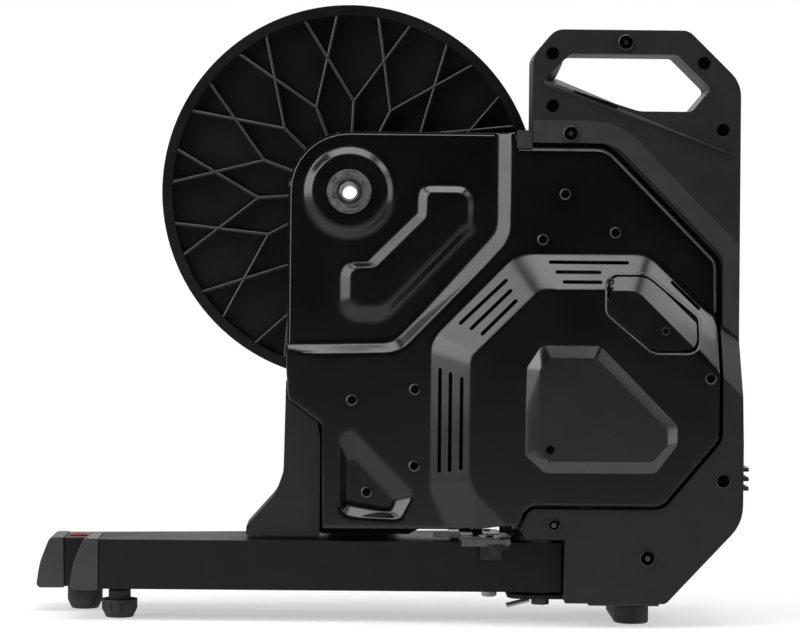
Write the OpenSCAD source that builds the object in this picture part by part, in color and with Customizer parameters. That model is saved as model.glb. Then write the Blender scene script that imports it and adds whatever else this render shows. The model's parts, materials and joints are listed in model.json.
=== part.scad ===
// Direct drive bike trainer, legs folded forward.
// +X runs to the rear, +Y to the drive side, +Z up. Outlines are written as
// [x, z, corner radius] from the hub axle, and the whole is set down on z = 0.

/* [Stance] */
// Height of the hub axle over the floor
axle_height = 346; // [340:1:360]
// Spacing of the bicycle dropouts that the hub fills
dropout_spacing = 142; // [142:1:148]

/* [Hub] */
// Bore for the 12 mm thru axle
thru_bore_d = 12.2; // [12:0.1:12.6]
// Outside diameter of the hollow hub axle
axle_d = 15; // [15:0.5:16]
// Outside diameter of the hub and flywheel bearings
bearing_d = 32; // [30:1:34]
// Width of the hub and flywheel bearings
bearing_w = 9; // [7:0.5:9]
// Outside diameter of the slim bearings in the freehub
slim_bearing_d = 24; // [22:1:26]
// Width of the slim bearings
slim_bearing_w = 5; // [4:0.5:6]
// Diameter over the freehub splines
freehub_d = 34.8; // [33:0.2:35]
// Length of the freehub splines
freehub_w = 35.5; // [34:0.5:37]
// Diameter of the locknut
locknut_d = 35.4; // [33:0.2:36.6]
// Diameter of the end caps
end_cap_d = 21.4; // [18:0.2:24]

/* [Drive] */
// Diameter of the large pulley over its flanges
pulley_d = 308; // [300:1:310]
// Width of both pulleys
pulley_w = 22; // [20:1:24]
// Depth of the belt seat below the flange
flange_h = 6; // [5.5:0.5:7]
// Thickness of a pulley flange
flange_t = 2; // [1.5:0.5:3]
// Thickness of the pulley web
web_t = 4; // [3:0.5:5]
// Number of radial ribs on the pulley
rib_count = 15; // [9:1:18]
// Radius where each rib forks
fork_r = 75; // [65:1:85]
// Half angle between the two branches of a fork
fork_angle = 17.3; // [14:0.1:20]
// Width of the ribs
rib_w = 2.8; // [2:0.1:4]
// Diameter of the belt seat on the small pulley
small_seat_d = 40; // [36:1:44]
// Thickness of the belt
belt_t = 4; // [3:0.5:5]
// Diameter of the idler wheel
idler_d = 32; // [28:1:36]

/* [Flywheel] */
// Distance of the flywheel shaft behind the hub axle
fly_x = 197; // [194:1:199]
// Drop of the flywheel shaft below the hub axle
fly_drop = 163.5; // [160:0.5:166]
// Diameter of the flywheel
fly_d = 162; // [150:1:163]
// Width of the flywheel rim
fly_w = 28; // [24:1:29]
// Radial depth of the flywheel rim
fly_rim = 25; // [18:1:26]
// Number of brake coils
coil_count = 6; // [4:1:8]

/* [Covers and frame] */
// Wall of the moulded covers and the frame shells
wall = 3; // [2:0.25:3.5]
// Gap between the side cover and the frame shell
cover_gap = 2.8; // [2:0.1:4]
// How far the bulge stands out of the side cover
bulge_h = 22; // [18:0.5:24]
// Depth of the lowered upper-left panel
recess_h = 8; // [5:0.5:9]
// Height of the boss round the axle
boss_h = 6; // [4:0.5:7]
// Thickness of the structural frame plate
plate_t = 10; // [8:0.5:11]
// Depth of the frame from its main near face to its far face
frame_depth = 60; // [58:0.5:62]
// Thickness of the centre cap
centre_cap_t = 6; // [4:0.5:8]

/* [Legs] */
// Width of a leg tube
leg_w = 50; // [44:1:50]
// Height of a leg tube
leg_h = 40; // [36:1:40]
// Wall of a leg tube
leg_wall = 2.5; // [2:0.25:4]
// Distance between the centre lines of the two legs
leg_pitch = 56; // [56:1:60]
// Distance from the hinge to the end of the near tube
near_leg_l = 357; // [330:1:370]
// Extra length of the far tube
far_extra = 33; // [20:1:40]
// Diameter of a leg hinge bolt
hinge_bolt_d = 10; // [8:0.5:12]
// Diameter of a levelling foot
foot_d = 29; // [24:0.5:34]
// Height of a levelling foot's knob
foot_h = 14.5; // [12:0.5:15]

/* [Hidden] */
$fn = 64;
eps = 0.01;
seat_gap = 0.3;
run_gap = 0.05;

// Stations across the trainer, near side negative
hub_mid_y = -9;
axle_near_y = hub_mid_y - dropout_spacing / 2;
axle_far_y = hub_mid_y + dropout_spacing / 2;
cover_y = -72;
recess_y = cover_y + recess_h;
bulge_y = cover_y - bulge_h;
cap_y = bulge_y - centre_cap_t;
boss_y = recess_y - boss_h;
shell_step = 2;
shell_y = cover_y + shell_step;
shell_raised_y = bulge_y + shell_step;
shell_far_y = shell_y + frame_depth;
seam_y = (shell_y + shell_far_y) / 2;
plate_y = -34;
plate_far_y = plate_y + plate_t;
rim_h = 12;
pulley_y = -6;
pulley_far_y = pulley_y + pulley_w;
axle_boss_y = -60;
fly_y = bulge_y + 8;
bulge_skin = 5;

// Folded length, for the origin at the middle of the base
cap_len = 23.5;
hinge_x = 158;
far_tip_x = hinge_x - near_leg_l - far_extra - cap_len;
port_tip_x = 325.5;
centre_x = (far_tip_x + port_tip_x) / 2;
centre_y = (cap_y + axle_far_y) / 2;

// Leg heights and lines, from the hub axle
leg_top = -281;
leg_low = leg_top - leg_h;
near_leg_y = -44;
far_leg_y = near_leg_y + leg_pitch;
leg_end = 16.2;
leg_corner = 12;
leg_edge_r = 1.5;
// Droop of the far tube towards its foot, in degrees
far_sag = 0.69;
foot_inset = 15.5;
foot_back = near_leg_l - foot_inset;
swing_r = norm([leg_end, leg_w / 2]) + 0.6;
floor_z = -axle_height;
base_low = -327;
pad_t = 4;
pad_margin = 4;
rear_foot_x0 = 217;
rear_foot_x1 = 245;
rear_foot_near_y = -70;
rear_foot_far_y = 32;
rear_foot_r = 13;
base_far_y = 40;
clevis_top = leg_top + 5.1;
clevis_low = leg_low - 2.4;
clevis_t = 3.6;
clevis_end = 192;

// Latch post and the pins that the latch levers turn on, [x, z]
post_x0 = 124.5;
post_x1 = 134.5;
near_pin = [129, -279.4];
far_pin = [106.6, -277.2];
near_pin_r = 1.6;
far_pin_r = 1.4;
ear_t = 1.5;

// Outlines seen from the near side
fly_room = 4.8;
cover_low = -fly_drop - fly_d / 2 - fly_room;
cover_pts = [
    [-49, 48.5, 48.4], [133, 48.5, 1], [134.5, 36.8, 1], [206.3, 36.8, 22], [295.6, -53.5, 13],
    [296.6, -120, 0], [297, -195, 16], [251.5, cover_low, 14], [144, cover_low, 11], [136.8, -265.8, 3],
    [124, -266, 2], [108, -268.5, 4], [80, -270.6, 0], [-19.5, -271, 1], [-20.5, -187, 3],
    [-47.5, -167, 4], [-49.3, -143, 0]
];
frame_pts = [
    [133.5, 50.5, 1], [146.5, 50.5, 0], [146.5, 110, 14], [164, 131.5, 14], [271, 131.5, 12],
    [313.5, 90, 26], [314.3, -112, 0], [316.5, -200, 0], [316.5, -261.6, 34], [255.5, -327, 6],
    [175, -327, 0.5], [175, -276.3, 0], [143.6, -276.3, 0.5], [136.3, -265, 2], [130, -235, 0],
    [240, -235, 0], [280, -190, 0], [280, -60, 0], [200, 20, 0], [133.5, 30, 0]
];
plate_pts = [
    [-47, 46.5, 46], [131, 46.5, 3], [133, 34, 3], [205, 34, 20], [306, -66, 14], [306, -202, 14],
    [258, cover_low + 3.3, 14], [146, cover_low + 3.3, 11], [134, -262, 3], [-24, -269, 1], [-24, -190, 3], [-45, -169, 4]
];
bracket_pts = [
    [-49.3, -140, 0], [-51, -226, 24], [-57, -243.5, 24], [-80.5, -270, 2], [-81, -277, 0.5],
    [-21.5, -277, 0.5], [-21.5, -200, 0], [-30, -140, 0]
];
handle_pts = [
    [176.5, 112, 5], [262, 112, 5], [289.5, 85, 4], [274, 66.5, 5], [232, 66.5, 24], [154, 90.5, 3.5]
];
bulge_foot_pts = [
    [135, -47.8, 26], [240, -47.6, 22], [345, -148, 0], [345, -345, 0], [116, -345, 0],
    [66, -236, 34], [66, -118.5, 22]
];
bulge_top_pts = [
    [152, -77.3, 18], [230, -77, 18], [345, -190, 0], [345, -345, 0], [207, -345, 0],
    [98.2, -236, 26], [98.2, -131, 14]
];
raise_foot_pts = [[240, -47.6, 22], [345, -148, 0], [345, -360, 0], [100, -360, 0], [100, -47.6, 0]];
raise_top_pts = [[230, -77, 18], [345, -190, 0], [345, -360, 0], [125, -360, 0], [125, -77, 0]];
recess_foot_pts = [
    [-90, 90, 0], [128, 90, 0], [132, 22, 6], [131.5, -38, 24], [42, -130, 24], [-15, -131.5, 60],
    [-90, -118, 0]
];
recess_floor_pts = [
    [-90, 90, 0], [118.2, 90, 0], [118.5, -30, 24], [37, -120.8, 24], [-90, -123.5, 0]
];
pocket_foot_pts = [[-7, -189, 10], [4, -191, 6], [55, -243, 5], [44, -263.5, 5], [-7, -261.5, 11]];
pocket_floor_pts = [[1, -214, 2], [8, -215, 3], [39, -247, 3], [35.5, -257.5, 3], [1, -251.5, 3]];
// The boomerang boss is three convex lumps: its upper head, its arm and its lower head
boomerang_foot = [
    [[54.5, 6, 9], [96, 6, 14], [102.5, -4, 10], [102, -30, 8], [92, -38, 4], [54, -17, 2]],
    [[54.5, -16, 2], [88, -20, 2], [98, -32, 8], [32, -101, 8], [8, -90, 2], [10, -60, 2]],
    [[-8, -56, 12], [14, -56, 5], [34, -62, 2], [40, -92, 2], [27, -104, 8], [-8, -104, 17]]
];
boomerang_top = [
    [[63.5, -0.5, 5], [90.5, -0.5, 8], [94, -8, 6], [93, -27, 5], [84, -32, 3], [63, -20, 1]],
    [[63, -20, 1], [82, -24, 1], [90, -30, 4], [30, -91.5, 5], [16, -84, 1], [22, -61, 1]],
    [[2.5, -62, 7], [22, -61, 4], [30, -66, 1], [32, -86, 1], [27, -92.5, 4], [2.5, -92.5, 7]]
];
door_pts = [
    [208, -65.8, 8], [238, -65.8, 18], [279, -99, 8], [278.5, -124.3, 10], [243.5, -124.3, 14],
    [208, -94, 8]
];
cap_foot_pts = [
    [154, -121.3, 8], [201, -121.3, 6], [263, -184, 8], [263, -200, 8], [246, -222.5, 6],
    [158, -223, 8], [142, -209, 4], [142, -172, 30], [142.8, -139, 6]
];
cap_top_pts = [
    [160, -130.7, 3], [197, -130.7, 5], [254.6, -187, 5], [254.8, -200, 4], [243, -213, 4],
    [160, -213.3, 6], [152.6, -203, 3], [152.6, -140, 3]
];
guard_pts = [
    [60, -100, 0], [150, 30, 0], [202, 22, 20], [286, -62, 24], [286, -190, 25], [242, -240, 15],
    [112, -240, 30], [60, -205, 12]
];

// Screw and bolt places: [x, z, y of the face under the head]
cover_screw_at = [
    [173, -0.5, cover_y], [155.5, -37, cover_y], [213.5, -31, cover_y], [289, -146.5, bulge_y],
    [3.5, -167, cover_y], [54, -158, cover_y], [54, -219.5, cover_y], [16, -241.5, recess_y]
];
shell_screw_at = [
    [220.5, 121.5, shell_y, shell_far_y - 2.2], [177, 48, shell_y, shell_far_y - 2.2],
    [165.5, -264.5, shell_raised_y, shell_y], [240.5, -290.5, shell_raised_y, shell_y + 20]
];
shell_bolt_at = [
    [162, 112, shell_y], [283.5, 105.5, shell_y], [162.5, 70, shell_y], [299.5, 52, shell_y],
    [300.5, -228.5, shell_raised_y]
];
vent_at = [
    [161.5, -55, 223, -55], [166.5, -62.8, 200.5, -62.8], [172, -70.6, 201, -70.6],
    [90, -104.5, 126, -70], [98.5, -108.5, 129.5, -78], [107, -112.5, 133.5, -86],
    [74, -142, 74, -223], [82.2, -145, 82.2, -222], [91, -148.5, 91, -220], [259.5, -70.5, 281, -91]
];
guard_screw_at = [[270, -70], [270, -180], [130, -226]];
shell_pillar_at = [for (p = concat(shell_screw_at, shell_bolt_at)) if (p[1] > -220) p];
function post_top(p) = p[2] + (p[2] == bulge_y ? bulge_skin : wall) + seat_gap;
vent_w = 2.9;
post_r = 4;
screw_r = 2;
screw_head_r = 4.7;
screw_head_h = 2;
bolt_r = 2.8;
bolt_sink = 9;

// Rounds the corners of a list of [x, z, radius]
function unit(v) = v / norm(v);
function xy(p) = [p[0], p[1]];
function corner(a, p, b, r) =
    let (
        u = unit(a - p), v = unit(b - p), half = acos(u * v) / 2,
        c = p + unit(u + v) * r / sin(half), s = p + u * r / tan(half) - c, e = p + v * r / tan(half) - c,
        a0 = atan2(s[1], s[0]), turn = (atan2(e[1], e[0]) - a0 + 540) % 360 - 180,
        n = max(1, ceil(abs(turn) / 10))
    )
    [for (i = [0:n]) c + r * [cos(a0 + turn * i / n), sin(a0 + turn * i / n)]];
function rounded(pts) = [
    for (i = [0:len(pts) - 1])
        let (n = len(pts), p = pts[i])
        each p[2] == 0 ? [xy(p)] : corner(xy(pts[(i + n - 1) % n]), xy(p), xy(pts[(i + 1) % n]), p[2])
];

module placed() translate([-centre_x, -centre_y, axle_height]) children();
module slab(y0, y1) translate([0, y1, 0]) rotate([90, 0, 0]) linear_extrude(y1 - y0) children();
module outline(pts) polygon(rounded(pts));
module rod(x, z, y0, y1, r) translate([x, y1, z]) rotate([90, 0, 0]) cylinder(r = r, h = y1 - y0);
module ring(x, z, y0, y1, r_out, r_in) difference() {
    rod(x, z, y0, y1, r_out);
    rod(x, z, y0 - 1, y1 + 1, r_in);
}
module post(x, y, z0, z1, r) translate([x, y, z0]) cylinder(r = r, h = z1 - z0);
module box(x0, x1, y0, y1, z0, z1) translate([x0, y0, z0]) cube([x1 - x0, y1 - y0, z1 - z0]);
// A lump that narrows from its foot at y0 to its top at y1
module lump(foot, top, y0, y1) hull() {
    slab(min(y0, y0 + sign(y0 - y1) * 0.1), max(y0, y0 + sign(y0 - y1) * 0.1)) outline(foot);
    slab(min(y1, y1 - sign(y1 - y0) * 0.1), max(y1, y1 - sign(y1 - y0) * 0.1)) outline(top);
}
module spun(pts) rotate([90, 0, 0]) rotate_extrude($fn = 128) polygon([for (p = pts) [p[0], -p[1]]]);

// Frame

module frame_side() difference() {
    outline(frame_pts);
    offset(delta = cover_gap) outline(cover_pts);
    outline(handle_pts);
}
module swing_room(top) for (y = [near_leg_y, far_leg_y]) post(hinge_x, y, clevis_low, top, swing_r);
module port_window() box(300, 330, -60, -22, -246, -214);

module frame_plate() color("#2a2a2c") placed() difference() {
    union() {
        slab(plate_y, plate_far_y) outline(plate_pts);
        slab(plate_far_y, plate_far_y + rim_h) difference() {
            outline(plate_pts);
            offset(delta = -4) outline(plate_pts);
        }
        rod(0, 0, axle_boss_y, plate_far_y + 8, 24);
        rod(fly_x, -fly_drop, plate_y - 11, plate_far_y + 10, 21);
        for (p = cover_screw_at) rod(p[0], p[1], post_top(p), plate_y, post_r);
    }
    rod(0, 0, axle_boss_y - 1, 0, axle_d / 2 + run_gap);
    rod(fly_x, -fly_drop, plate_y - 12, 0, bearing_d / 2 + run_gap);
    for (p = cover_screw_at) rod(p[0], p[1], p[2], p[2] + 20, screw_r + run_gap);
}

module left_frame_shell() color("#303032") placed() difference() {
    union() {
        slab(shell_y, seam_y) frame_side();
        intersection() {
            lump(raise_foot_pts, raise_top_pts, shell_y, shell_raised_y);
            slab(shell_raised_y, shell_y + 1) frame_side();
        }
    }
    difference() {
        union() {
            slab(shell_y + wall, seam_y + 1) offset(delta = -wall) frame_side();
            slab(shell_raised_y + wall, shell_y + wall + 1) intersection() {
                offset(delta = -wall) frame_side();
                offset(delta = -wall) outline(raise_top_pts);
            }
        }
        for (p = shell_pillar_at) rod(p[0], p[1], p[2], seam_y + 2, 7.5);
    }
    for (p = shell_screw_at) {
        rod(p[0], p[1], p[2] - 1, p[2] + 1.2, screw_head_r + 0.5);
        rod(p[0], p[1], p[2] - 1, seam_y + 2, bolt_r + run_gap);
    }
    for (p = shell_bolt_at) {
        rod(p[0], p[1], p[2] - 1, p[2] + bolt_sink, screw_head_r + 0.3);
        rod(p[0], p[1], p[2] - 1, seam_y + 2, bolt_r + run_gap);
    }
    swing_room(leg_top + 8.3);
    clevis_slot();
    base_room();
    port_window();
    slab(plate_y - 12, plate_far_y + 1) offset(delta = seat_gap) outline(plate_pts);
    translate([199, -46, 76.5]) rotate([0, 20.3, 0]) cube([37, 3, 12], center = true);
}

module right_frame_shell() color("#2c2c2e") placed() difference() {
    slab(seam_y + eps, shell_far_y) frame_side();
    difference() {
        slab(seam_y, shell_far_y - wall) offset(delta = -wall) frame_side();
        for (p = shell_pillar_at) rod(p[0], p[1], seam_y, shell_far_y, 7.5);
    }
    for (p = concat(shell_screw_at, shell_bolt_at)) rod(p[0], p[1], seam_y - 1, shell_far_y - 2, bolt_r + run_gap);
    swing_room(leg_top + 8.3);
    clevis_slot();
    base_room();
    port_window();
    slab(plate_y - seat_gap, plate_far_y + rim_h + seat_gap) offset(delta = seat_gap) outline(plate_pts);
}

module frame_bolts() color("#55565a") placed() {
    for (p = shell_screw_at) screw(p[0], p[1], p[2] + 1.2, p[3], screw_head_r, bolt_r);
    for (p = shell_bolt_at) screw(p[0], p[1], p[2] + bolt_sink, shell_far_y - 2.2, screw_head_r, bolt_r);
}
// A socket head screw whose head stands on the face at y and whose shank ends at y_end
module screw(x, z, y, y_end, head_r, shank_r) difference() {
    union() {
        rod(x, z, y - screw_head_h, y, head_r);
        rod(x, z, y - eps, y_end, shank_r);
    }
    translate([x, y - screw_head_h + 1.2, z]) rotate([90, 0, 0]) cylinder(r = head_r * 0.5, h = 3, $fn = 6);
}

module front_bracket() color("#2e2e30") placed() difference() {
    slab(-62, -12) bracket_side();
    slab(-59, -15) difference() {
        offset(delta = -wall) bracket_side();
    }
    box(-70, -30, -55, -19, -285, -270);
    slab(plate_y - seat_gap, plate_far_y + rim_h + seat_gap) offset(delta = seat_gap) outline(plate_pts);
}
module bracket_side() difference() {
    outline(bracket_pts);
    offset(delta = 1) outline(cover_pts);
}

// Base, with the clevis of both legs

module clevis_slot() box(120, clevis_end + seat_gap, near_leg_y - 22.3, far_leg_y + 22.3, clevis_low - 20, clevis_low + seat_gap);
module base_side() intersection() {
    outline(frame_pts);
    translate([120, -340]) square([210, 88]);
}
module base_inner_side() offset(delta = -wall - seat_gap) intersection() {
    frame_side();
    translate([120, -340]) square([210, 120]);
}
module base_room() slab(shell_far_y - wall - 1, shell_far_y + 1) offset(delta = seat_gap) base_inner_side();
module base_casting() color("#2b2b2d") placed() difference() {
    union() {
        slab(shell_raised_y + wall + seat_gap, shell_far_y + seat_gap + eps) base_inner_side();
        slab(shell_far_y + seat_gap, base_far_y) base_side();
        post(hinge_x, near_leg_y, clevis_top - eps, clevis_top + 3.2, 23);
    }
    swing_room(clevis_top - 3);
    clevis_slot();
    for (y = [near_leg_y, far_leg_y]) post(hinge_x, y, -300, 0, hinge_bolt_d / 2 + run_gap);
    for (y = [near_leg_y, far_leg_y]) post(hinge_x, y, clevis_top + 6, 0, 11);
    box(100, 186, -120, 60, -340, clevis_top);
    slab(-80, 32) polygon([[196, -340], [196, -284], [276, -284], [276, -294], [236, -340]]);
    for (p = shell_screw_at) rod(p[0], p[1], -120, p[3] + seat_gap, bolt_r + run_gap);
    for (p = shell_bolt_at) rod(p[0], p[1], -120, shell_far_y - 2, bolt_r + run_gap);
    for (p = shell_bolt_at) rod(p[0], p[1], -120, p[2] + bolt_sink + seat_gap, screw_head_r + 0.3);
    rod(fly_x, -fly_drop, -120, 60, fly_d / 2 + 3);
    slab(plate_y - seat_gap, plate_far_y + rim_h + seat_gap) offset(delta = seat_gap) outline(plate_pts);
    box(298, 330, -62, -20, -250, -210);
}
module lower_clevis_plate() color("#232325") placed() difference() {
    translate([0, 0, clevis_low - clevis_t]) linear_extrude(clevis_t) outline([
        [130.5, near_leg_y - 22, 14], [clevis_end, near_leg_y - 22, 2], [clevis_end, far_leg_y + 22, 2],
        [130.5, far_leg_y + 22, 14]
    ]);
    for (y = [near_leg_y, far_leg_y]) post(hinge_x, y, -400, -300, hinge_bolt_d / 2 + run_gap);
}
module base_pad() color("#1c1c1d") placed() box(
    rear_foot_x0 - 22, rear_foot_x1 + 7, rear_foot_near_y - pad_margin, rear_foot_far_y + pad_margin,
    base_low - pad_t, base_low - seat_gap
);
module rear_foot() color("#161617") placed() translate([0, 0, floor_z])
    linear_extrude(base_low - pad_t - seat_gap - floor_z) outline([
        [rear_foot_x0, rear_foot_near_y, rear_foot_r], [rear_foot_x1, rear_foot_near_y, rear_foot_r],
        [rear_foot_x1, rear_foot_far_y, rear_foot_r], [rear_foot_x0, rear_foot_far_y, rear_foot_r]
    ]);
module power_port() color("#202022") placed() {
    box(304.6, 316.2, -59.7, -22.3, -245.7, -214.3);
    for (i = [0:2]) box(316.2 - eps, port_tip_x, -56, -26, -223.4 - 7.7 * i, -220.1 - 7.7 * i);
}

// Covers

module side_cover() color("#121213") placed() difference() {
    union() {
        difference() {
            slab(cover_y, plate_y - seat_gap) outline(cover_pts);
            lump(recess_foot_pts, recess_floor_pts, cover_y - 1, recess_y);
            lump(pocket_foot_pts, pocket_floor_pts, cover_y - 0.5, recess_y);
        }
        intersection() {
            lump(bulge_foot_pts, bulge_top_pts, cover_y, bulge_y);
            slab(bulge_y - 1, cover_y + 1) outline(cover_pts);
        }
        for (i = [0:2]) lump(boomerang_foot[i], boomerang_top[i], recess_y, boss_y);
        spun([[0, boss_y], [29.6, boss_y], [37, recess_y], [37, recess_y + 2], [0, recess_y + 2]]);
    }
    cover_room();
    rod(0, 0, boss_y - 1, 0, locknut_d / 2 + 0.8);
    for (p = cover_screw_at) rod(p[0], p[1], p[2] - 2, p[2] + 6, screw_r + 0.4);
    for (v = vent_at) slab(bulge_y - 5, cover_y + 8) vent(v);
    slab(bulge_y - 1, bulge_y + 16) outline(door_pts);
    box(post_x0 - seat_gap, post_x1 + seat_gap, plate_y - 6 - seat_gap, plate_y, -280, -255);
}
module vent(v) {
    run = [v[2] - v[0], v[3] - v[1]];
    translate([v[0], v[1]]) rotate(atan2(run[1], run[0])) union() {
        translate([0, -vent_w / 2]) square([norm(run), vent_w]);
        for (x = [0, norm(run)]) translate([x, 0]) circle(r = vent_w / 2, $fn = 24);
    }
}
// The hollow behind the cover's skin
module cover_room() {
    slab(recess_y + wall, plate_y) offset(delta = -wall) outline(cover_pts);
    slab(cover_y + wall, recess_y + wall + 1) difference() {
        offset(delta = -wall) outline(cover_pts);
        offset(delta = wall) outline(recess_foot_pts);
        offset(delta = wall - 1) outline(pocket_foot_pts);
    }
    intersection() {
        lump(bulge_foot_pts, bulge_top_pts, cover_y + bulge_skin, bulge_y + bulge_skin);
        slab(bulge_y + wall, cover_y + wall + 1) offset(delta = -wall) outline(cover_pts);
    }
}
module cover_screws() color("#4a4b4e") placed()
    for (p = cover_screw_at) screw(p[0], p[1], p[2], p[2] + 16, screw_head_r, screw_r);
module access_door() color("#131314") placed() difference() {
    intersection() {
        lump(bulge_foot_pts, bulge_top_pts, cover_y + 0.3, bulge_y + 0.3);
        slab(bulge_y - 1, bulge_y + 12) offset(delta = -seat_gap) outline(door_pts);
    }
    lump(bulge_foot_pts, bulge_top_pts, cover_y + 3.4, bulge_y + 3.4);
    rod(252.5, -109, bulge_y - 2, bulge_y + 9, screw_r * 0.75 + run_gap);
}
module access_door_screw() color("#3a3b3e") placed()
    screw(252.5, -109, bulge_y + 0.3, bulge_y + 3.3, 3, screw_r * 0.75);
module centre_cap() color("#2d2e30") placed() difference() {
    lump(cap_foot_pts, cap_top_pts, bulge_y - seat_gap, cap_y);
    rod(161.5, -204, cap_y - 1, cap_y + 3, 3.8);
    rod(161.5, -204, cap_y - 1, bulge_y, screw_r + run_gap);
}
module centre_cap_screw() color("#1b1b1c") placed() screw(161.5, -204, cap_y + 3, bulge_y - seat_gap, 3.5, screw_r);
module belt_guard() color("#18181a") placed() difference() {
    slab(plate_far_y + seat_gap, pulley_far_y + 10) outline(guard_pts);
    difference() {
        slab(plate_far_y, pulley_far_y + 10 - wall) offset(delta = -wall) outline(guard_pts);
        for (p = guard_screw_at) rod(p[0], p[1], plate_far_y, pulley_far_y + 10, 6);
    }
    slab(plate_far_y - 1, pulley_far_y + 11) circle(r = pulley_d / 2 + 4, $fn = 128);
    slab(pulley_y + 1, pulley_far_y - 1) polygon(belt_pts(belt_gap + belt_t + 3));
    for (p = guard_screw_at) rod(p[0], p[1], plate_far_y, pulley_far_y + 11, screw_r + run_gap);
}
module guard_screws() color("#4a4b4e") placed() for (p = guard_screw_at)
    mirror([0, 1, 0]) screw(p[0], p[1], -pulley_far_y - 10, -plate_far_y - 1, screw_head_r, screw_r);

// Electronics and brake

board_x = 162;
board_w = 42;
board_z = -72;
board_h = 62;
board_y = -58;
board_spacer_at = [for (x = [6, board_w - 6], z = [6, board_h - 6]) [board_x + x, board_z + z]];
module control_board() color("#1f4a2c") placed() {
    difference() {
        box(board_x, board_x + board_w, board_y, board_y + 1.6, board_z, board_z + board_h);
        for (p = board_spacer_at) rod(p[0], p[1], board_y - 1, board_y + 3, 1.6);
    }
    box(board_x + 12, board_x + 28, board_y - 3, board_y + eps, board_z + 14, board_z + 30);
    box(board_x + 10, board_x + 30, board_y - 8, board_y + eps, board_z + 38, board_z + 52);
}
module board_spacers() color("#b8a04a") placed()
    for (p = board_spacer_at) ring(p[0], p[1], board_y + 1.6 + eps, plate_y - seat_gap, 3, 1.5);

fly_web = 7;
pole_w = 10;
pole_r = fly_d / 2 - fly_rim - 1.5;
pole_in = pole_r - 22.5;
coil_h = 12;
pole_y = fly_y + fly_web + 4;
module brake_pole(a, grow) rotate([0, a, 0]) translate([pole_in, pole_y - grow, -pole_w / 2 - grow])
    cube([pole_r - pole_in, 14 + 2 * grow, pole_w + 2 * grow]);
module brake_stator() color("#5a5c60") placed() translate([fly_x, 0, -fly_drop]) {
    ring(0, 0, pole_y + 14, plate_y - seat_gap, 28, 23);
    ring(0, 0, pole_y, pole_y + 15, pole_in + 3, 23);
    for (i = [0:coil_count - 1]) brake_pole(i * 360 / coil_count, 0);
}
module brake_coils() color("#a8662e") placed() translate([fly_x, 0, -fly_drop])
    for (i = [0:coil_count - 1]) difference() {
        rotate([0, i * 360 / coil_count, 0]) translate([pole_r - 4.5 - coil_h, pole_y - 2, -9]) cube([coil_h, 18, 18]);
        brake_pole(i * 360 / coil_count, 0.3);
    }

// Hub

module hub_axle() color("#9a9ca0") placed()
    ring(0, 0, axle_near_y, axle_far_y, axle_d / 2, thru_bore_d / 2);
module axle_locknut() color("#a6a8ab") placed() difference() {
    union() {
        rod(0, 0, axle_near_y + 5, axle_boss_y - seat_gap, locknut_d / 2);
        rod(0, 0, axle_near_y + 3, axle_near_y + 6, locknut_d / 2 - 3);
    }
    rod(0, 0, axle_near_y, 0, axle_d / 2 + run_gap);
    box(10, 30, axle_near_y, axle_near_y + 8, 11, 30);
}
module left_end_cap() color("#3b3c3f") placed()
    ring(0, 0, axle_near_y, axle_near_y + 3 - eps, end_cap_d / 2, axle_d / 2 + run_gap);
module right_end_cap() color("#8d8f93") placed()
    ring(0, 0, axle_far_y - 5, axle_far_y, end_cap_d / 2, axle_d / 2 + run_gap);
bearing_at = [pulley_y + 1, pulley_far_y - 1 - bearing_w];
freehub_y = pulley_far_y + 4.4;
freehub_bearing_at = [freehub_y + 1.5, freehub_y + freehub_w - 3 - slim_bearing_w];
module bearing(x, z, y, d, w, bore) spun_at(x, z) polygon([
    [bore / 2 + run_gap, -y - w], [d / 2, -y - w], [d / 2, -y], [bore / 2 + run_gap, -y]
]);
module spun_at(x, z) translate([x, 0, z]) rotate([90, 0, 0]) rotate_extrude($fn = 96) children();
module pulley_bearings() color("#b4b6ba") placed()
    for (y = bearing_at) bearing(0, 0, y, bearing_d, bearing_w, axle_d);
module freehub_bearings() color("#b4b6ba") placed()
    for (y = freehub_bearing_at) bearing(0, 0, y, slim_bearing_d, slim_bearing_w, axle_d);
module flywheel_bearings() color("#b4b6ba") placed()
    for (y = [plate_y - 10, plate_far_y]) bearing(fly_x, -fly_drop, y, bearing_d, bearing_w, axle_d);
module axle_spacers() color("#77797d") placed() {
    stops = [
        [plate_far_y + 8, bearing_at[0]], [bearing_at[0] + bearing_w, bearing_at[1]],
        [bearing_at[1] + bearing_w, freehub_bearing_at[0]],
        [freehub_bearing_at[0] + slim_bearing_w, freehub_bearing_at[1]],
        [freehub_bearing_at[1] + slim_bearing_w, axle_far_y - 5]
    ];
    for (s = stops) ring(0, 0, s[0] + 0.1, s[1] - 0.1, axle_d / 2 + 2, axle_d / 2 + run_gap);
}

// Drive

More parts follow.
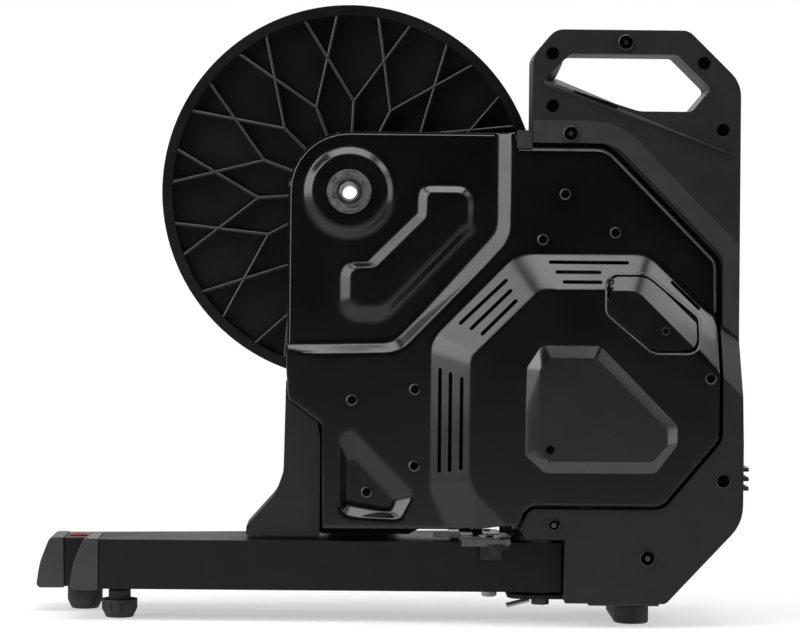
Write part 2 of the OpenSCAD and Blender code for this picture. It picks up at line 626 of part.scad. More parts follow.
seat_r = pulley_d / 2 - flange_h;
small_seat_r = small_seat_d / 2;
web_y = pulley_y + 10;
hub_r = 26;
rim_r = pulley_d / 2 - 8.3;
module rib(r0, a0, r1, a1, w) {
    p = r0 * [cos(a0), sin(a0)];
    q = r1 * [cos(a1), sin(a1)];
    n = unit([p[1] - q[1], q[0] - p[0]]) * w / 2;
    polygon([p + n, p - n, q - n, q + n]);
}
module drive_pulley() color("#1d1d1f") placed() {
    spun([
        [bearing_d / 2 + run_gap, pulley_y], [hub_r, pulley_y], [hub_r, web_y], [rim_r, web_y], [rim_r, pulley_y],
        [pulley_d / 2, pulley_y], [pulley_d / 2, pulley_y + flange_t], [seat_r, pulley_y + flange_t + 1],
        [seat_r, pulley_far_y - flange_t - 1], [pulley_d / 2, pulley_far_y - flange_t],
        [pulley_d / 2, pulley_far_y], [rim_r, pulley_far_y], [rim_r, web_y + web_t], [hub_r + 6, web_y + web_t],
        [hub_r + 2, pulley_far_y], [bearing_d / 2 + run_gap, pulley_far_y]
    ]);
    slab(pulley_y + 1, web_y + eps) for (i = [0:rib_count - 1]) {
        a = 90 - 2.2 + i * 360 / rib_count;
        rib(hub_r - 1, a, fork_r + 1, a, rib_w);
        for (s = [-1, 1]) rib(fork_r, a, rim_r + 0.5, a + s * fork_angle, rib_w * 0.85);
    }
}
module ratchet_ring() color("#8a8c90") placed() difference() {
    spun([
        [axle_d / 2 + 4, pulley_far_y + 0.2], [22, pulley_far_y + 0.2], [22, pulley_far_y + 4],
        [axle_d / 2 + 4, pulley_far_y + 4]
    ]);
    for (i = [0:23]) rotate([0, i * 15, 0]) translate([19.5, pulley_far_y + 3, -0.9]) cube([4, 3, 1.8]);
}
module freehub_body() color("#3f4144") placed() difference() {
    spun([
        [slim_bearing_d / 2 + run_gap, freehub_y], [20, freehub_y], [20, freehub_y + 1.5],
        [freehub_d / 2, freehub_y + 1.5], [freehub_d / 2, freehub_y + freehub_w],
        [slim_bearing_d / 2 + run_gap, freehub_y + freehub_w]
    ]);
    for (i = [0:8]) rotate([0, i * 40, 0])
        translate([freehub_d / 2 - 1.3, freehub_y + 3, i == 0 ? -2.4 : -1.8])
            cube([4, freehub_w, i == 0 ? 4.8 : 3.6]);
}
module flywheel() color("#6b6d71") placed() translate([fly_x, 0, -fly_drop]) difference() {
    spun([
        [axle_d / 2 + 0.02, fly_y], [fly_d / 2 - 1.5, fly_y], [fly_d / 2, fly_y + 1.5],
        [fly_d / 2, fly_y + fly_w], [fly_d / 2 - fly_rim, fly_y + fly_w], [fly_d / 2 - fly_rim, fly_y + fly_web],
        [18, fly_y + fly_web], [18, fly_y + fly_w + 2], [axle_d / 2 + 0.02, fly_y + fly_w + 2]
    ]);
}
module flywheel_shaft() color("#a8aaae") placed() rod(fly_x, -fly_drop, fly_y - 1.5, pulley_far_y + 7, axle_d / 2);
module small_pulley() color("#77797d") placed() translate([fly_x, 0, -fly_drop]) spun([
    [axle_d / 2 + 0.02, pulley_y], [small_seat_r + 5, pulley_y], [small_seat_r + 5, pulley_y + flange_t],
    [small_seat_r, pulley_y + flange_t + 1], [small_seat_r, pulley_far_y - flange_t - 1],
    [small_seat_r + 5, pulley_far_y - flange_t], [small_seat_r + 5, pulley_far_y], [axle_d / 2 + 0.02, pulley_far_y]
]);
module shaft_nut() color("#8d8f93") placed() difference() {
    translate([fly_x, 21, -fly_drop]) rotate([90, 0, 0]) cylinder(r = 12, h = 4.7, $fn = 6);
    rod(fly_x, -fly_drop, 0, 30, axle_d / 2 + 0.02);
}

// The belt runs on the straight tangents of both seats
fly_dist = norm([fly_x, fly_drop]);
fly_dir = atan2(-fly_drop, fly_x);
wrap = acos((seat_r - small_seat_r) / fly_dist);
function arc_pts(c, r, a0, a1, n) = [for (i = [0:n]) c + r * [cos(a0 + (a1 - a0) * i / n), sin(a0 + (a1 - a0) * i / n)]];
function belt_pts(grow) = concat(
    arc_pts([0, 0], seat_r + grow, fly_dir + wrap, fly_dir + 360 - wrap, 96),
    arc_pts([fly_x, -fly_drop], small_seat_r + grow, fly_dir - wrap, fly_dir + wrap, 24)
);
belt_gap = 0.4;
module drive_belt() color("#0c0c0d") placed() slab(pulley_y + 3.6, pulley_far_y - 3.6) difference() {
    polygon(belt_pts(belt_gap + belt_t));
    polygon(belt_pts(belt_gap));
}
belt_side = [cos(fly_dir - wrap), sin(fly_dir - wrap)];
idler_on = [fly_x, -fly_drop] * 0.8 + belt_side * (seat_r * 0.2 + small_seat_r * 0.8);
idler_c = idler_on + belt_side * (belt_gap + belt_t + 0.4 + idler_d / 2);
idler_pin_r = 5;
module idler_wheel() color("#3a3b3e") placed() translate([idler_c[0], 0, idler_c[1]]) spun([
    [idler_pin_r + run_gap, pulley_y + 3], [idler_d / 2, pulley_y + 3], [idler_d / 2, pulley_far_y - 3],
    [idler_pin_r + run_gap, pulley_far_y - 3]
]);
module idler_pin() color("#9a9ca0") placed() {
    rod(idler_c[0], idler_c[1], plate_far_y + 8.5, pulley_far_y, idler_pin_r);
    rod(idler_c[0], idler_c[1], pulley_far_y - 2.6, pulley_far_y + 1, idler_pin_r + 2);
}
module tensioner_arm() color("#4c4e52") placed() difference() {
    slab(plate_far_y + seat_gap, plate_far_y + 8.2) hull() {
        translate(idler_c) circle(r = 11);
        translate([idler_c[0] - 42, idler_c[1] - 12]) circle(r = 9);
    }
    rod(idler_c[0] - 42, idler_c[1] - 12, -40, 0, 3.2);
}

// Leg hinges and latches on the base

module thrust_washers() color("#6e7074") placed() for (y = [near_leg_y, far_leg_y]) {
    for (i = [0:2]) translate([0, 0, leg_top + seat_gap + 1.55 * i]) difference() {
        post(hinge_x, y, 0, 1.5, 25.4 - 0.8 * (i % 2));
        post(hinge_x, y, -1, 3, hinge_bolt_d / 2 + run_gap);
    }
    difference() {
        post(hinge_x, y, clevis_low + 0.1, leg_low - seat_gap, 16);
        post(hinge_x, y, clevis_low - 1, leg_low + 1, hinge_bolt_d / 2 + run_gap);
    }
}
bolt_head_h = 6;
module hinge_bolts() color("#3c3d40") placed() for (y = [near_leg_y, far_leg_y]) difference() {
    union() {
        post(hinge_x, y, clevis_low - clevis_t - seat_gap - bolt_head_h, clevis_low - clevis_t - seat_gap, 7.3);
        post(hinge_x, y, clevis_low - clevis_t - seat_gap - eps, clevis_top + 14, hinge_bolt_d / 2);
    }
    translate([hinge_x, y, clevis_low - clevis_t - bolt_head_h - 1]) cylinder(r = 4, h = 4, $fn = 6);
}
module hinge_nuts() color("#77797d") placed() for (y = [near_leg_y, far_leg_y]) difference() {
    translate([hinge_x, y, clevis_top + 6.3]) cylinder(r = 9.5, h = 7, $fn = 6);
    post(hinge_x, y, -300, -200, hinge_bolt_d / 2 + run_gap);
}
module latch_post() color("#2a2a2c") placed() {
    box(post_x0, post_x1, plate_y - 6, plate_y - seat_gap, -275.4, -247);
    box(post_x0, post_x1, plate_y - 14, plate_y - 5.9, -275.4, -267);
}
module lock_tongue() color("#6a6c70") placed() difference() {
    translate([140, near_leg_y - 12, -331.6]) rotate([0, -14, 0]) translate([-10, -8, 0]) cube([19, 16, 2]);
    translate([140, near_leg_y - 12, -331.6]) rotate([0, -14, 0]) translate([-6, -2, -1]) cube([12, 4, 4]);
}

// Legs: each is drawn on its own centre line with the hinge at the origin

module leg_tube(tube_l, sag) difference() {
    sagged(sag) difference() {
        translate([0, 0, leg_low]) linear_extrude(leg_h) outline([
            [-tube_l, -leg_w / 2, 0], [leg_end, -leg_w / 2, leg_edge_r],
            [leg_end, leg_w / 2, leg_corner], [-tube_l, leg_w / 2, 0]
        ]);
        translate([0, 0, leg_low + leg_wall]) linear_extrude(leg_h - 2 * leg_wall) outline([
            [-tube_l - 1, leg_wall - leg_w / 2, 0], [leg_end - leg_wall, leg_wall - leg_w / 2, 0],
            [leg_end - leg_wall, leg_w / 2 - leg_wall, leg_corner - leg_wall],
            [-tube_l - 1, leg_w / 2 - leg_wall, 0]
        ]);
    }
    post(0, 0, -400, -200, bush_r + 0.02);
    post(-foot_back - tube_l + near_leg_l, 0, -400, leg_top - 10, insert_r + 0.02);
    post(-latch_back, 0, -400, -200, 3.1);
}
module sagged(sag) translate([0, 0, leg_top]) rotate([0, -sag, 0]) translate([0, 0, -leg_top]) children();
function drop_at(x, sag) = x * tan(sag);
bush_r = 8;
insert_r = 8;
latch_back = 41.5;
stem_r = 4;
module leg_cap(tube_l) {
    x = -tube_l - seat_gap;
    tip = x - cap_len + seat_gap;
    translate([0, leg_w / 2 + 1, 0]) rotate([90, 0, 0]) linear_extrude(leg_w + 2) outline([
        [x, leg_low - 1, 0.5], [x, leg_top + 0.6, 0.5], [tip + 11.7, leg_top + 0.6, 5],
        [tip + 3.4, leg_low + 20, 45], [tip, leg_low - 1, 4]
    ]);
    plug_gap = leg_wall + 0.3;
    box(
        x - eps, x + 6, plug_gap - leg_w / 2, leg_w / 2 - plug_gap, leg_low + plug_gap, leg_top - plug_gap
    );
}
// Welded hinge bush, foot insert, latch bracket and its through bolt
module leg_fittings(tube_l, sag) {
    foot_x = -foot_back - tube_l + near_leg_l;
    difference() {
        post(0, 0, leg_low, leg_top, bush_r);
        post(0, 0, leg_low - 1, leg_top + 1, hinge_bolt_d / 2 + run_gap);
    }
    translate([0, 0, drop_at(foot_x, sag)]) difference() {
        post(foot_x, 0, leg_low - 1.5, leg_low + 14, insert_r);
        post(foot_x, 0, leg_low - 2, leg_low + 20, stem_r + run_gap);
    }
    translate([0, 0, drop_at(-latch_back, sag)]) {
        difference() {
            union() {
                box(-50, -32.5, -leg_w / 2 - 2.3, leg_w / 2 - 12, leg_top + 0.2, leg_top + 2.2);
                box(-50, -32.5, -leg_w / 2 - 2.3, -leg_w / 2 - seat_gap, leg_top - 14, leg_top + 0.3);
            }
            post(-latch_back, 0, leg_top - 1, leg_top + 5, 3.05);
        }
        post(-latch_back, 0, leg_low - 0.2, leg_top + 3.5, 3);
        post(-latch_back, 0, leg_low - 4.5, leg_low - 0.2 + eps, 5.5);
    }
}
module near_hinge() translate([hinge_x, near_leg_y, 0]) children();
module far_hinge() translate([hinge_x, far_leg_y, 0]) children();
module near_leg_tube() color("#1f1f21") placed() near_hinge() leg_tube(near_leg_l, 0);
module near_leg_cap() color("#3a3a3d") placed() near_hinge() leg_cap(near_leg_l);
module near_leg_fittings() color("#2f3033") placed() near_hinge() {
    leg_fittings(near_leg_l, 0);
    difference() {
        box(-34, -26, -leg_w / 2 - 2.3, -leg_w / 2 - seat_gap, leg_top - 6, leg_top + 4.2);
        rod(near_pin[0] - hinge_x, near_pin[1], -leg_w, leg_w, near_pin_r + run_gap);
    }
}
module far_leg_tube() color("#1f1f21") placed() far_hinge()
    mirror([0, 1, 0]) leg_tube(near_leg_l + far_extra, far_sag);
module far_leg_cap() color("#3a3a3d") placed() far_hinge() sagged(far_sag) leg_cap(near_leg_l + far_extra);
module far_leg_fittings() color("#2f3033") placed() far_hinge() {
    leg_fittings(near_leg_l + far_extra, far_sag);
    for (y = [-24 - seat_gap - ear_t, -12 + seat_gap]) difference() {
        box(-54, -46, y, y + ear_t, leg_top + 0.2, leg_top + 6.4);
        rod(far_pin[0] - hinge_x, far_pin[1], -leg_w, leg_w, far_pin_r + run_gap);
    }
}
module wheel_strip() color("#7a2018") placed() far_hinge() sagged(far_sag)
    box(strip_x, strip_x + 24, -8, 6, leg_top + 0.1, leg_top + 1.4);
strip_x = 3 - near_leg_l - far_extra;

// Latch levers: serrated pad on the near leg, thin crossing plate on the far leg
lever_y = -83;
module near_latch_lever() color("#4c4d50") placed() difference() {
    union() {
        box(92.5, 113, lever_y, -72.2, -283, -277);
        box(112, near_pin[0], lever_y, -75, -281, -277.4);
        rod(near_pin[0], near_pin[1], lever_y, near_leg_y - leg_w / 2 - 2.3 - seat_gap, 2.8);
        rod(near_pin[0], near_pin[1], lever_y, near_leg_y - leg_w / 2 - 0.4, near_pin_r);
    }
    for (i = [0:6]) translate([95 + 2.6 * i, lever_y - 1, -283.6]) rotate([0, 45, 0]) cube([1.4, 14, 1.4]);
}
module far_latch_lever() color("#4c4d50") placed() {
    box(70.5, 92, -60, -44, -278.4, -275);
    box(84, 92, -60, far_leg_y - 12, -278.4, -276);
    box(84, far_pin[0], far_leg_y - 24, far_leg_y - 12, -278.4, -276);
    rod(far_pin[0], far_pin[1], far_leg_y - 24 - seat_gap - ear_t, far_leg_y - 12 + seat_gap + ear_t, far_pin_r);
}

// Levelling foot: a knob that narrows to the floor, on a stem
module levelling_foot(x, y, h) {
    translate([x, y, floor_z]) cylinder(r1 = foot_d / 2 - 3.5, r2 = foot_d / 2, h = foot_taper);
    post(x, y, floor_z + foot_taper - eps, floor_z + h, foot_d / 2);
    post(x, y, floor_z + h - eps, leg_low + 20, stem_r);
}
foot_taper = 7;
far_foot_h = 17.5;
foot_nut_r = 9;
module near_foot() color("#222224") placed() {
    x = hinge_x - foot_back;
    difference() {
        levelling_foot(x, near_leg_y, foot_h);
        for (i = [0:9]) translate([x, near_leg_y, floor_z + 4]) rotate([0, 0, 36 * i])
            translate([foot_d / 2 + 3, 0, 0]) cylinder(r = 4.4, h = foot_h - 6);
    }
    post(x, near_leg_y, floor_z + foot_h - eps, leg_low - 3.3, foot_nut_r);
}
module far_foot() color("#222224") placed()
    levelling_foot(hinge_x - foot_back - far_extra, far_leg_y, far_foot_h);

frame_plate();
side_cover();
cover_screws();
centre_cap();
centre_cap_screw();
access_door();
access_door_screw();
left_frame_shell();
right_frame_shell();
frame_bolts();
front_bracket();
base_casting();
lower_clevis_plate();
base_pad();
rear_foot();
power_port();
control_board();
board_spacers();
belt_guard();
guard_screws();
hub_axle();
axle_locknut();
left_end_cap();
right_end_cap();
pulley_bearings();
freehub_bearings();
axle_spacers();
flywheel_bearings();
brake_stator();
brake_coils();
tensioner_arm();
idler_pin();
drive_belt();
thrust_washers();
hinge_bolts();
hinge_nuts();
latch_post();
lock_tongue();
drive_pulley();
ratchet_ring();
freehub_body();
flywheel();
flywheel_shaft();
small_pulley();
shaft_nut();
idler_wheel();
near_leg_tube();
near_leg_cap();
near_leg_fittings();
near_latch_lever();
near_foot();
far_leg_tube();
far_leg_cap();
far_leg_fittings();
far_latch_lever();
far_foot();
wheel_strip();
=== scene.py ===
# %% [markdown]
# # A direct drive bike trainer, dressed
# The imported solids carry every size, joint and fit. This lesson gives them their looks: rounded
# moulded edges, the finish of each plastic and metal, and the small trim that needs no solid of its
# own. Everything is in metres and in the frame of the solids, so nothing has to be fitted.

import json
import math

import bmesh
import bpy
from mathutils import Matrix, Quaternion, Vector
from mathutils.bvhtree import BVHTree


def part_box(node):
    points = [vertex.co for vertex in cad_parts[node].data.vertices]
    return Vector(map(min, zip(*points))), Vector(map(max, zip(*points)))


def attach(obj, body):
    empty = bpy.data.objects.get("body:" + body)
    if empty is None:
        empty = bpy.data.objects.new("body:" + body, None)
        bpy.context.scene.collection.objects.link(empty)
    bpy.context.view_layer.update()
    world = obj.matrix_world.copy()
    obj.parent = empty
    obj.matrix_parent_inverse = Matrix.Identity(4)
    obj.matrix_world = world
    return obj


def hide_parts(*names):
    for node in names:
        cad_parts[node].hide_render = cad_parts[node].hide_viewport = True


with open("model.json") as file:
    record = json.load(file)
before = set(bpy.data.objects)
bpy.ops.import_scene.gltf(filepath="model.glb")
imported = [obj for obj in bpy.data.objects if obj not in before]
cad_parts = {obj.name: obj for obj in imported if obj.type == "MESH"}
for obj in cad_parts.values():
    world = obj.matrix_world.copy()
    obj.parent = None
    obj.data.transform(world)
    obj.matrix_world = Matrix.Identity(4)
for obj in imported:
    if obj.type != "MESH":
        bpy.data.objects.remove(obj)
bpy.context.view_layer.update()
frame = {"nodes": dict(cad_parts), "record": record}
nodes = frame["nodes"]
body_of = {n: b for b, members in frame["record"]["behaviour"]["bodies"].items() for n in members}
scene = bpy.context.scene
scene.view_settings.view_transform = "Standard"

# %% [markdown]
# ## Where things are
# Every place on the trainer was drawn from the hub axle, so the lesson works in millimetres from
# there too. The axle's own solid gives the origin: its middle across, and its centre line.

# %% Places from the hub axle
axle_low, axle_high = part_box("hub_axle")
AXLE = (axle_low + axle_high) / 2
HUB_MID_Y = -9.0
MM = 0.001


def at(x, y, z):
    """A place in millimetres from the hub axle, as a point of the frame in metres."""
    return Vector((AXLE.x + x * MM, AXLE.y + (y - HUB_MID_Y) * MM, AXLE.z + z * MM))


print("hub axle at", [round(c, 4) for c in AXLE])

# %% [markdown]
# ## The camera
# A product photograph is taken from far off with a long lens, so that upright lines stay upright.
# The axle's end and the bevels of the cover show where the lines of sight meet, and that gives the
# camera's place: level with the middle of the trainer, about two and a half metres away, turned a
# little right and down. The picture also leans by half a degree, as the photograph does.

# %% Camera
CAMERA_PLACE = at(9.5, -2476, -36)
LOOK_RIGHT = math.radians(0.764)
LOOK_DOWN = math.radians(1.51)
LEAN = math.radians(0.55)

camera_data = bpy.data.cameras.new("camera")
camera_data.sensor_width = 36
camera_data.lens = 135
camera_data.clip_end = 50
camera = bpy.data.objects.new("camera", camera_data)
scene.collection.objects.link(camera)
sight = Vector((math.tan(LOOK_RIGHT), 1, -math.tan(LOOK_DOWN)))
camera.rotation_mode = "QUATERNION"
camera.rotation_quaternion = sight.to_track_quat("-Z", "Y") @ Quaternion((0, 0, 1), LEAN)
camera.location = CAMERA_PLACE
scene.camera = camera
print("camera at", [round(c, 3) for c in camera.location])

# %% [markdown]
# ## Nodes in few words
# Every finish, the floor and the surround are small trees of shader nodes. Building them by hand in
# the editor is a good way to learn them. In a script, three short helpers do the same: one sets
# constants on a node's own sockets, one adds a node with its constants, and one joins two nodes.

# %% Helpers for shader nodes
def settle(node, **constants):
    """Sets constants on a node's own input sockets. An underscore stands for a space."""
    for socket, value in constants.items():
        node.inputs[socket.replace("_", " ")].default_value = value
    return node


def add(tree, kind, **constants):
    """A new shader node with its constants."""
    return settle(tree.nodes.new("ShaderNode" + kind), **constants)


def link(tree, a, a_out, b, b_in):
    """Joins an output of node a to an input of node b."""
    tree.links.new(a.outputs[a_out], b.inputs[b_in])


print("node helpers ready")

# %% [markdown]
# ## The studio
# Nearly black plastic is drawn by what it mirrors: long pale boxes of light make the edge lines,
# and a dark room on the camera's side keeps the flat faces deep. Along the cover's rim and the door
# some of those lines are also painted highlights, in strips of a lighter black. The white surround is
# only seen directly and in reflections from behind, so it never brightens the object itself.

# %% World: white to look at, dim as light
WHITE = (1, 1, 1, 1)
ROOM_GREY = (0.24, 0.24, 0.245, 1)
# The mirrored room: its share of the way to the back, and its strength there
FRONT_AT, BACK_AT = -0.25, 0.55
DARK_FRONT, PALE_BACK = 0.02, 0.55

world = bpy.data.worlds.new("studio")
scene.world = world
world.use_nodes = True
wt = world.node_tree
wt.nodes.clear()
room, white = add(wt, "Background", Color=ROOM_GREY), add(wt, "Background", Color=WHITE)
mirrored = add(wt, "Background")
rays, heading, axes = add(wt, "LightPath"), add(wt, "TexCoord"), add(wt, "SeparateXYZ")
reflected = add(wt, "Math")
reflected.operation = "MAXIMUM"
depth = add(wt, "MapRange", From_Min=FRONT_AT, From_Max=BACK_AT, To_Min=DARK_FRONT, To_Max=PALE_BACK)
depth.interpolation_type = "SMOOTHSTEP"
lit, seen, world_out = add(wt, "MixShader"), add(wt, "MixShader"), add(wt, "OutputWorld")
for joint in (
    (heading, "Generated", axes, "Vector"), (axes, "Y", depth, "Value"),
    (depth, "Result", mirrored, "Strength"),
    (rays, "Is Glossy Ray", reflected, 0), (rays, "Is Transmission Ray", reflected, 1),
    (reflected, 0, lit, 0), (room, 0, lit, 1), (mirrored, 0, lit, 2),
    (rays, "Is Camera Ray", seen, 0), (lit, 0, seen, 1), (white, 0, seen, 2), (seen, 0, world_out, 0),
):
    link(wt, *joint)
print("world of", len(wt.nodes), "nodes")

# %% [markdown]
# ## The floor
# The trainer stands on white paper that runs on into the white surround. A plain disc does it: near
# the trainer it is half paper, which takes the shadow, and half glow, and further out it is all
# glow, so that no edge shows. Towards the camera the glow is weaker for every ray but the camera's
# own, and so the glossy cover doesn't mirror a bright floor.

# %% The disc
FLOOR_R = 3.0
FLOOR_GAP = 0.0005
floor_mesh = bpy.data.meshes.new("floor")
floor_bm = bmesh.new()
bmesh.ops.create_circle(floor_bm, cap_ends=True, radius=FLOOR_R, segments=96)
floor_bm.to_mesh(floor_mesh)
floor_bm.free()
floor = bpy.data.objects.new("floor", floor_mesh)
floor.location = (0, 0, -FLOOR_GAP)
scene.collection.objects.link(floor)
print("floor of", FLOOR_R, "m radius")

# %% Paper that fades into the white surround
PAPER = (0.86, 0.86, 0.86, 1)
# The glow takes over between two distances from the middle, and starts with a share
FADE_FROM, FADE_TO, GLOW_NEAR = 0.32, 0.62, 0.5
# Towards the camera, between two depths, its strength falls to a share
DIM_FROM, DIM_TO, DIM_GLOW = -1.0, 0.0, 0.5

floor_finish = bpy.data.materials.new("floor_paper")
floor_finish.use_nodes = True
ft = floor_finish.node_tree
paper = settle(ft.nodes["Principled BSDF"], Base_Color=PAPER, Roughness=0.6, Specular_IOR_Level=0.2)
glow, blend, ground = add(ft, "Emission"), add(ft, "MixShader"), add(ft, "TexCoord")
away = add(ft, "VectorMath")
away.operation = "LENGTH"
fade = add(ft, "MapRange", From_Min=FADE_FROM, From_Max=FADE_TO, To_Min=GLOW_NEAR)
fade.interpolation_type = "SMOOTHSTEP"
ground_axes, floor_rays = add(ft, "SeparateXYZ"), add(ft, "LightPath")
dimmed = add(ft, "MapRange", From_Min=DIM_FROM, From_Max=DIM_TO, To_Min=DIM_GLOW)
level = add(ft, "Math")
level.operation = "MAXIMUM"
for joint in (
    (ground, "Object", ground_axes, 0), (ground_axes, "Y", dimmed, "Value"),
    (floor_rays, "Is Camera Ray", level, 0), (dimmed, "Result", level, 1), (level, 0, glow, "Strength"),
    (ground, "Object", away, 0), (away, "Value", fade, "Value"), (fade, "Result", blend, 0),
    (paper, 0, blend, 1), (glow, 0, blend, 2), (blend, 0, ft.nodes["Material Output"], 0),
):
    link(ft, *joint)
floor_mesh.materials.append(floor_finish)
print("floor finish of", len(ft.nodes), "nodes")

# %% [markdown]
# ## The lamps
# Six soft boxes light the trainer. The one overhead draws the tops of the handle, the bulge and the
# legs, the two at the left draw the bevels of the cover, those at the right and at the back draw
# the outline. Each is a rectangle, because a rectangle mirrors as a clean band along a bevel, where
# a sun or a point lamp would leave a dot.

# %% Soft boxes
MIDDLE = (0, 0, 0.26)
SOFT_BOXES = [  # name, place, width and height in metres, watts
    ("top_box", (0.0, -0.3, 1.65), (1.5, 0.7), 21),
    ("left_box", (-1.55, -0.62, 0.68), (1.1, 1.05), 21),
    ("right_box", (1.7, -0.2, 0.5), (0.5, 1.1), 9),
    ("upper_left_box", (-1.1, -0.85, 1.35), (0.8, 0.6), 8),
    ("upper_right_box", (1.15, -0.15, 1.25), (0.6, 0.5), 6),
    ("back_box", (0.2, 1.6, 1.1), (1.6, 0.8), 10),
]
for name, place, size, watts in SOFT_BOXES:
    data = bpy.data.lights.new(name, "AREA")
    data.shape = "RECTANGLE"
    data.size, data.size_y = size
    data.energy = watts
    lamp = bpy.data.objects.new(name, data)
    lamp.location = place
    lamp.rotation_euler = (Vector(MIDDLE) - Vector(place)).to_track_quat("-Z", "Y").to_euler()
    scene.collection.objects.link(lamp)
print(len(SOFT_BOXES), "soft boxes aimed at", MIDDLE)

# %% [markdown]
# ## Finishes
# Every finish is a Principled shader whose colour, gloss and fine relief come from procedural
# textures in the object's own millimetres. Moulded plastic has a spark-eroded grain of about half a
# millimetre, paint has a wider, shallower peel, and turned metal has rings round its own axis.

# %% A finish and its noise
PER_METRE = 1000


def new_finish(name, colour, rough, metal=0.0, gloss=0.5):
    """A Principled finish, with the places of the object ready for its textures."""
    made = bpy.data.materials.new(name)
    made.use_nodes = True
    tree = made.node_tree
    base = tree.nodes["Principled BSDF"]
    settle(base, Base_Color=(*colour, 1), Roughness=rough, Metallic=metal, Specular_IOR_Level=gloss)
    return {"material": made, "tree": tree, "base": base, "place": add(tree, "TexCoord"), "bump": None}


def noise(f, size_mm, detail=2.0, stretch=(1, 1, 1)):
    """Noise whose lumps are about size_mm across, drawn out along an axis by stretch."""
    tree = f["tree"]
    scale = add(tree, "Mapping", Scale=[PER_METRE / size_mm / s for s in stretch])
    cloud = add(tree, "TexNoise", Scale=1.0, Detail=detail)
    link(tree, f["place"], "Object", scale, "Vector")
    link(tree, scale, "Vector", cloud, "Vector")
    return cloud


print("noise is sized in millimetres")

# %% What a texture can change
MIDDLE_OF_NOISE = (0.3, 0.7)


def relief(f, source, height_mm, strength=1.0, out=0):
    """Adds a texture's relief to the finish, over what relief it has."""
    tree = f["tree"]
    bump = add(tree, "Bump", Distance=height_mm * MM, Strength=strength)
    link(tree, source, out, bump, "Height")
    if f["bump"]:
        link(tree, f["bump"], 0, bump, "Normal")
    link(tree, bump, 0, f["base"], "Normal")
    f["bump"] = bump


def spread(f, source, low, high):
    """Lets a texture move the roughness between low and high."""
    tree = f["tree"]
    start, end = MIDDLE_OF_NOISE
    span = add(tree, "MapRange", From_Min=start, From_Max=end, To_Min=low, To_Max=high)
    link(tree, source, 0, span, "Value")
    link(tree, span, 0, f["base"], "Roughness")


def mottle(f, source, colour_a, colour_b, out=0):
    """Lets a texture move the colour between two near ones."""
    tree = f["tree"]
    ramp = add(tree, "ValToRGB")
    for stop, position, colour in zip(ramp.color_ramp.elements, MIDDLE_OF_NOISE, (colour_a, colour_b)):
        stop.position = position
        stop.color = (*colour, 1)
    link(tree, source, out, ramp, 0)
    link(tree, ramp, 0, f["base"], "Base Color")


def shade(colour, factor):
    """The colour, darker or lighter by a factor."""
    return tuple(c * factor for c in colour)


print("a texture moves the relief, the roughness or the colour")

# %% Rings and bands
WAVE_SCALE = 314.16  # rings a millimetre apart, in the measure of the wave texture


def rings(f, x, z, pitch_mm):
    """Turning marks: rings round an axis along Y that passes through (x, z)."""
    tree = f["tree"]
    centre = at(x, 0, z)
    shift = add(tree, "VectorMath")
    shift.operation = "SUBTRACT"
    shift.inputs[1].default_value = (centre.x, 0, centre.z)
    wave = add(tree, "TexWave", Scale=WAVE_SCALE / pitch_mm, Distortion=1.2, Detail=2)
    wave.wave_type = "RINGS"
    wave.rings_direction = "Y"
    link(tree, f["place"], "Object", shift, 0)
    link(tree, shift, 0, wave, "Vector")
    return wave


def bands(f, pitch_mm, distortion=0.0):
    """Straight bands across the depth, such as laid wire or stacked sheet."""
    tree = f["tree"]
    wave = add(tree, "TexWave", Scale=WAVE_SCALE / pitch_mm, Distortion=distortion)
    wave.wave_type = "BANDS"
    wave.bands_direction = "Y"
    link(tree, f["place"], "Object", wave, "Vector")
    return wave


print("rings and bands repeat by their pitch")

# %% [markdown]
# ## Plastics, paint and rubber
# The cover comes out of a polished mould and the frame out of a textured one, so both have the same
# three layers: a fine grain, a broad waviness, and a gloss that isn't quite even. An image of a
# grain would do too, but noise needs no file, never repeats and keeps its size on every piece.

# %% Moulded plastics, paint and rubber
def moulded(name, colour, rough, grain_mm=0.5, grain_h=0.02, gloss=0.5):
    """Injection-moulded plastic: fine even grain, slightly uneven gloss and tone."""
    f = new_finish(name, colour, rough, gloss=gloss)
    relief(f, noise(f, grain_mm, 3), grain_h, 0.6)
    relief(f, noise(f, 38, 1), 0.12, 0.25)
    spread(f, noise(f, 55, 3), rough - 0.05, rough + 0.05)
    mottle(f, noise(f, 24, 4), shade(colour, 0.86), shade(colour, 1.14))
    return f["material"]


def painted(name, colour, rough, peel_mm=1.6, gloss=0.5):
    """Powder coat on steel or alloy: a shallow orange peel with fine specks in it."""
    f = new_finish(name, colour, rough, gloss=gloss)
    relief(f, noise(f, peel_mm, 2), 0.03, 0.5)
    relief(f, noise(f, 0.35, 2), 0.012, 0.5)
    spread(f, noise(f, 40, 4), rough - 0.06, rough + 0.06)
    mottle(f, noise(f, 18, 5), shade(colour, 0.85), shade(colour, 1.15))
    return f["material"]


def rubber(name, colour, rough=0.72, gloss=0.3):
    """Moulded rubber: dull, softly pitted, a little dusty."""
    f = new_finish(name, colour, rough, gloss=gloss)
    relief(f, noise(f, 0.9, 4), 0.05, 0.7)
    spread(f, noise(f, 12, 4), rough - 0.08, rough + 0.1)
    mottle(f, noise(f, 9, 5), shade(colour, 0.7), shade(colour, 1.35))
    return f["material"]


print("plastic, paint and rubber ready")

# %% [markdown]
# ## Metals
# Metal shows how it was made. A turned part has rings round its axis, a stamped one is cloudy from
# its zinc bath, and the flywheel keeps the pores of its casting between the marks of the tool. The
# rings have to run round the right axis, so each turned finish is told where its axis is.

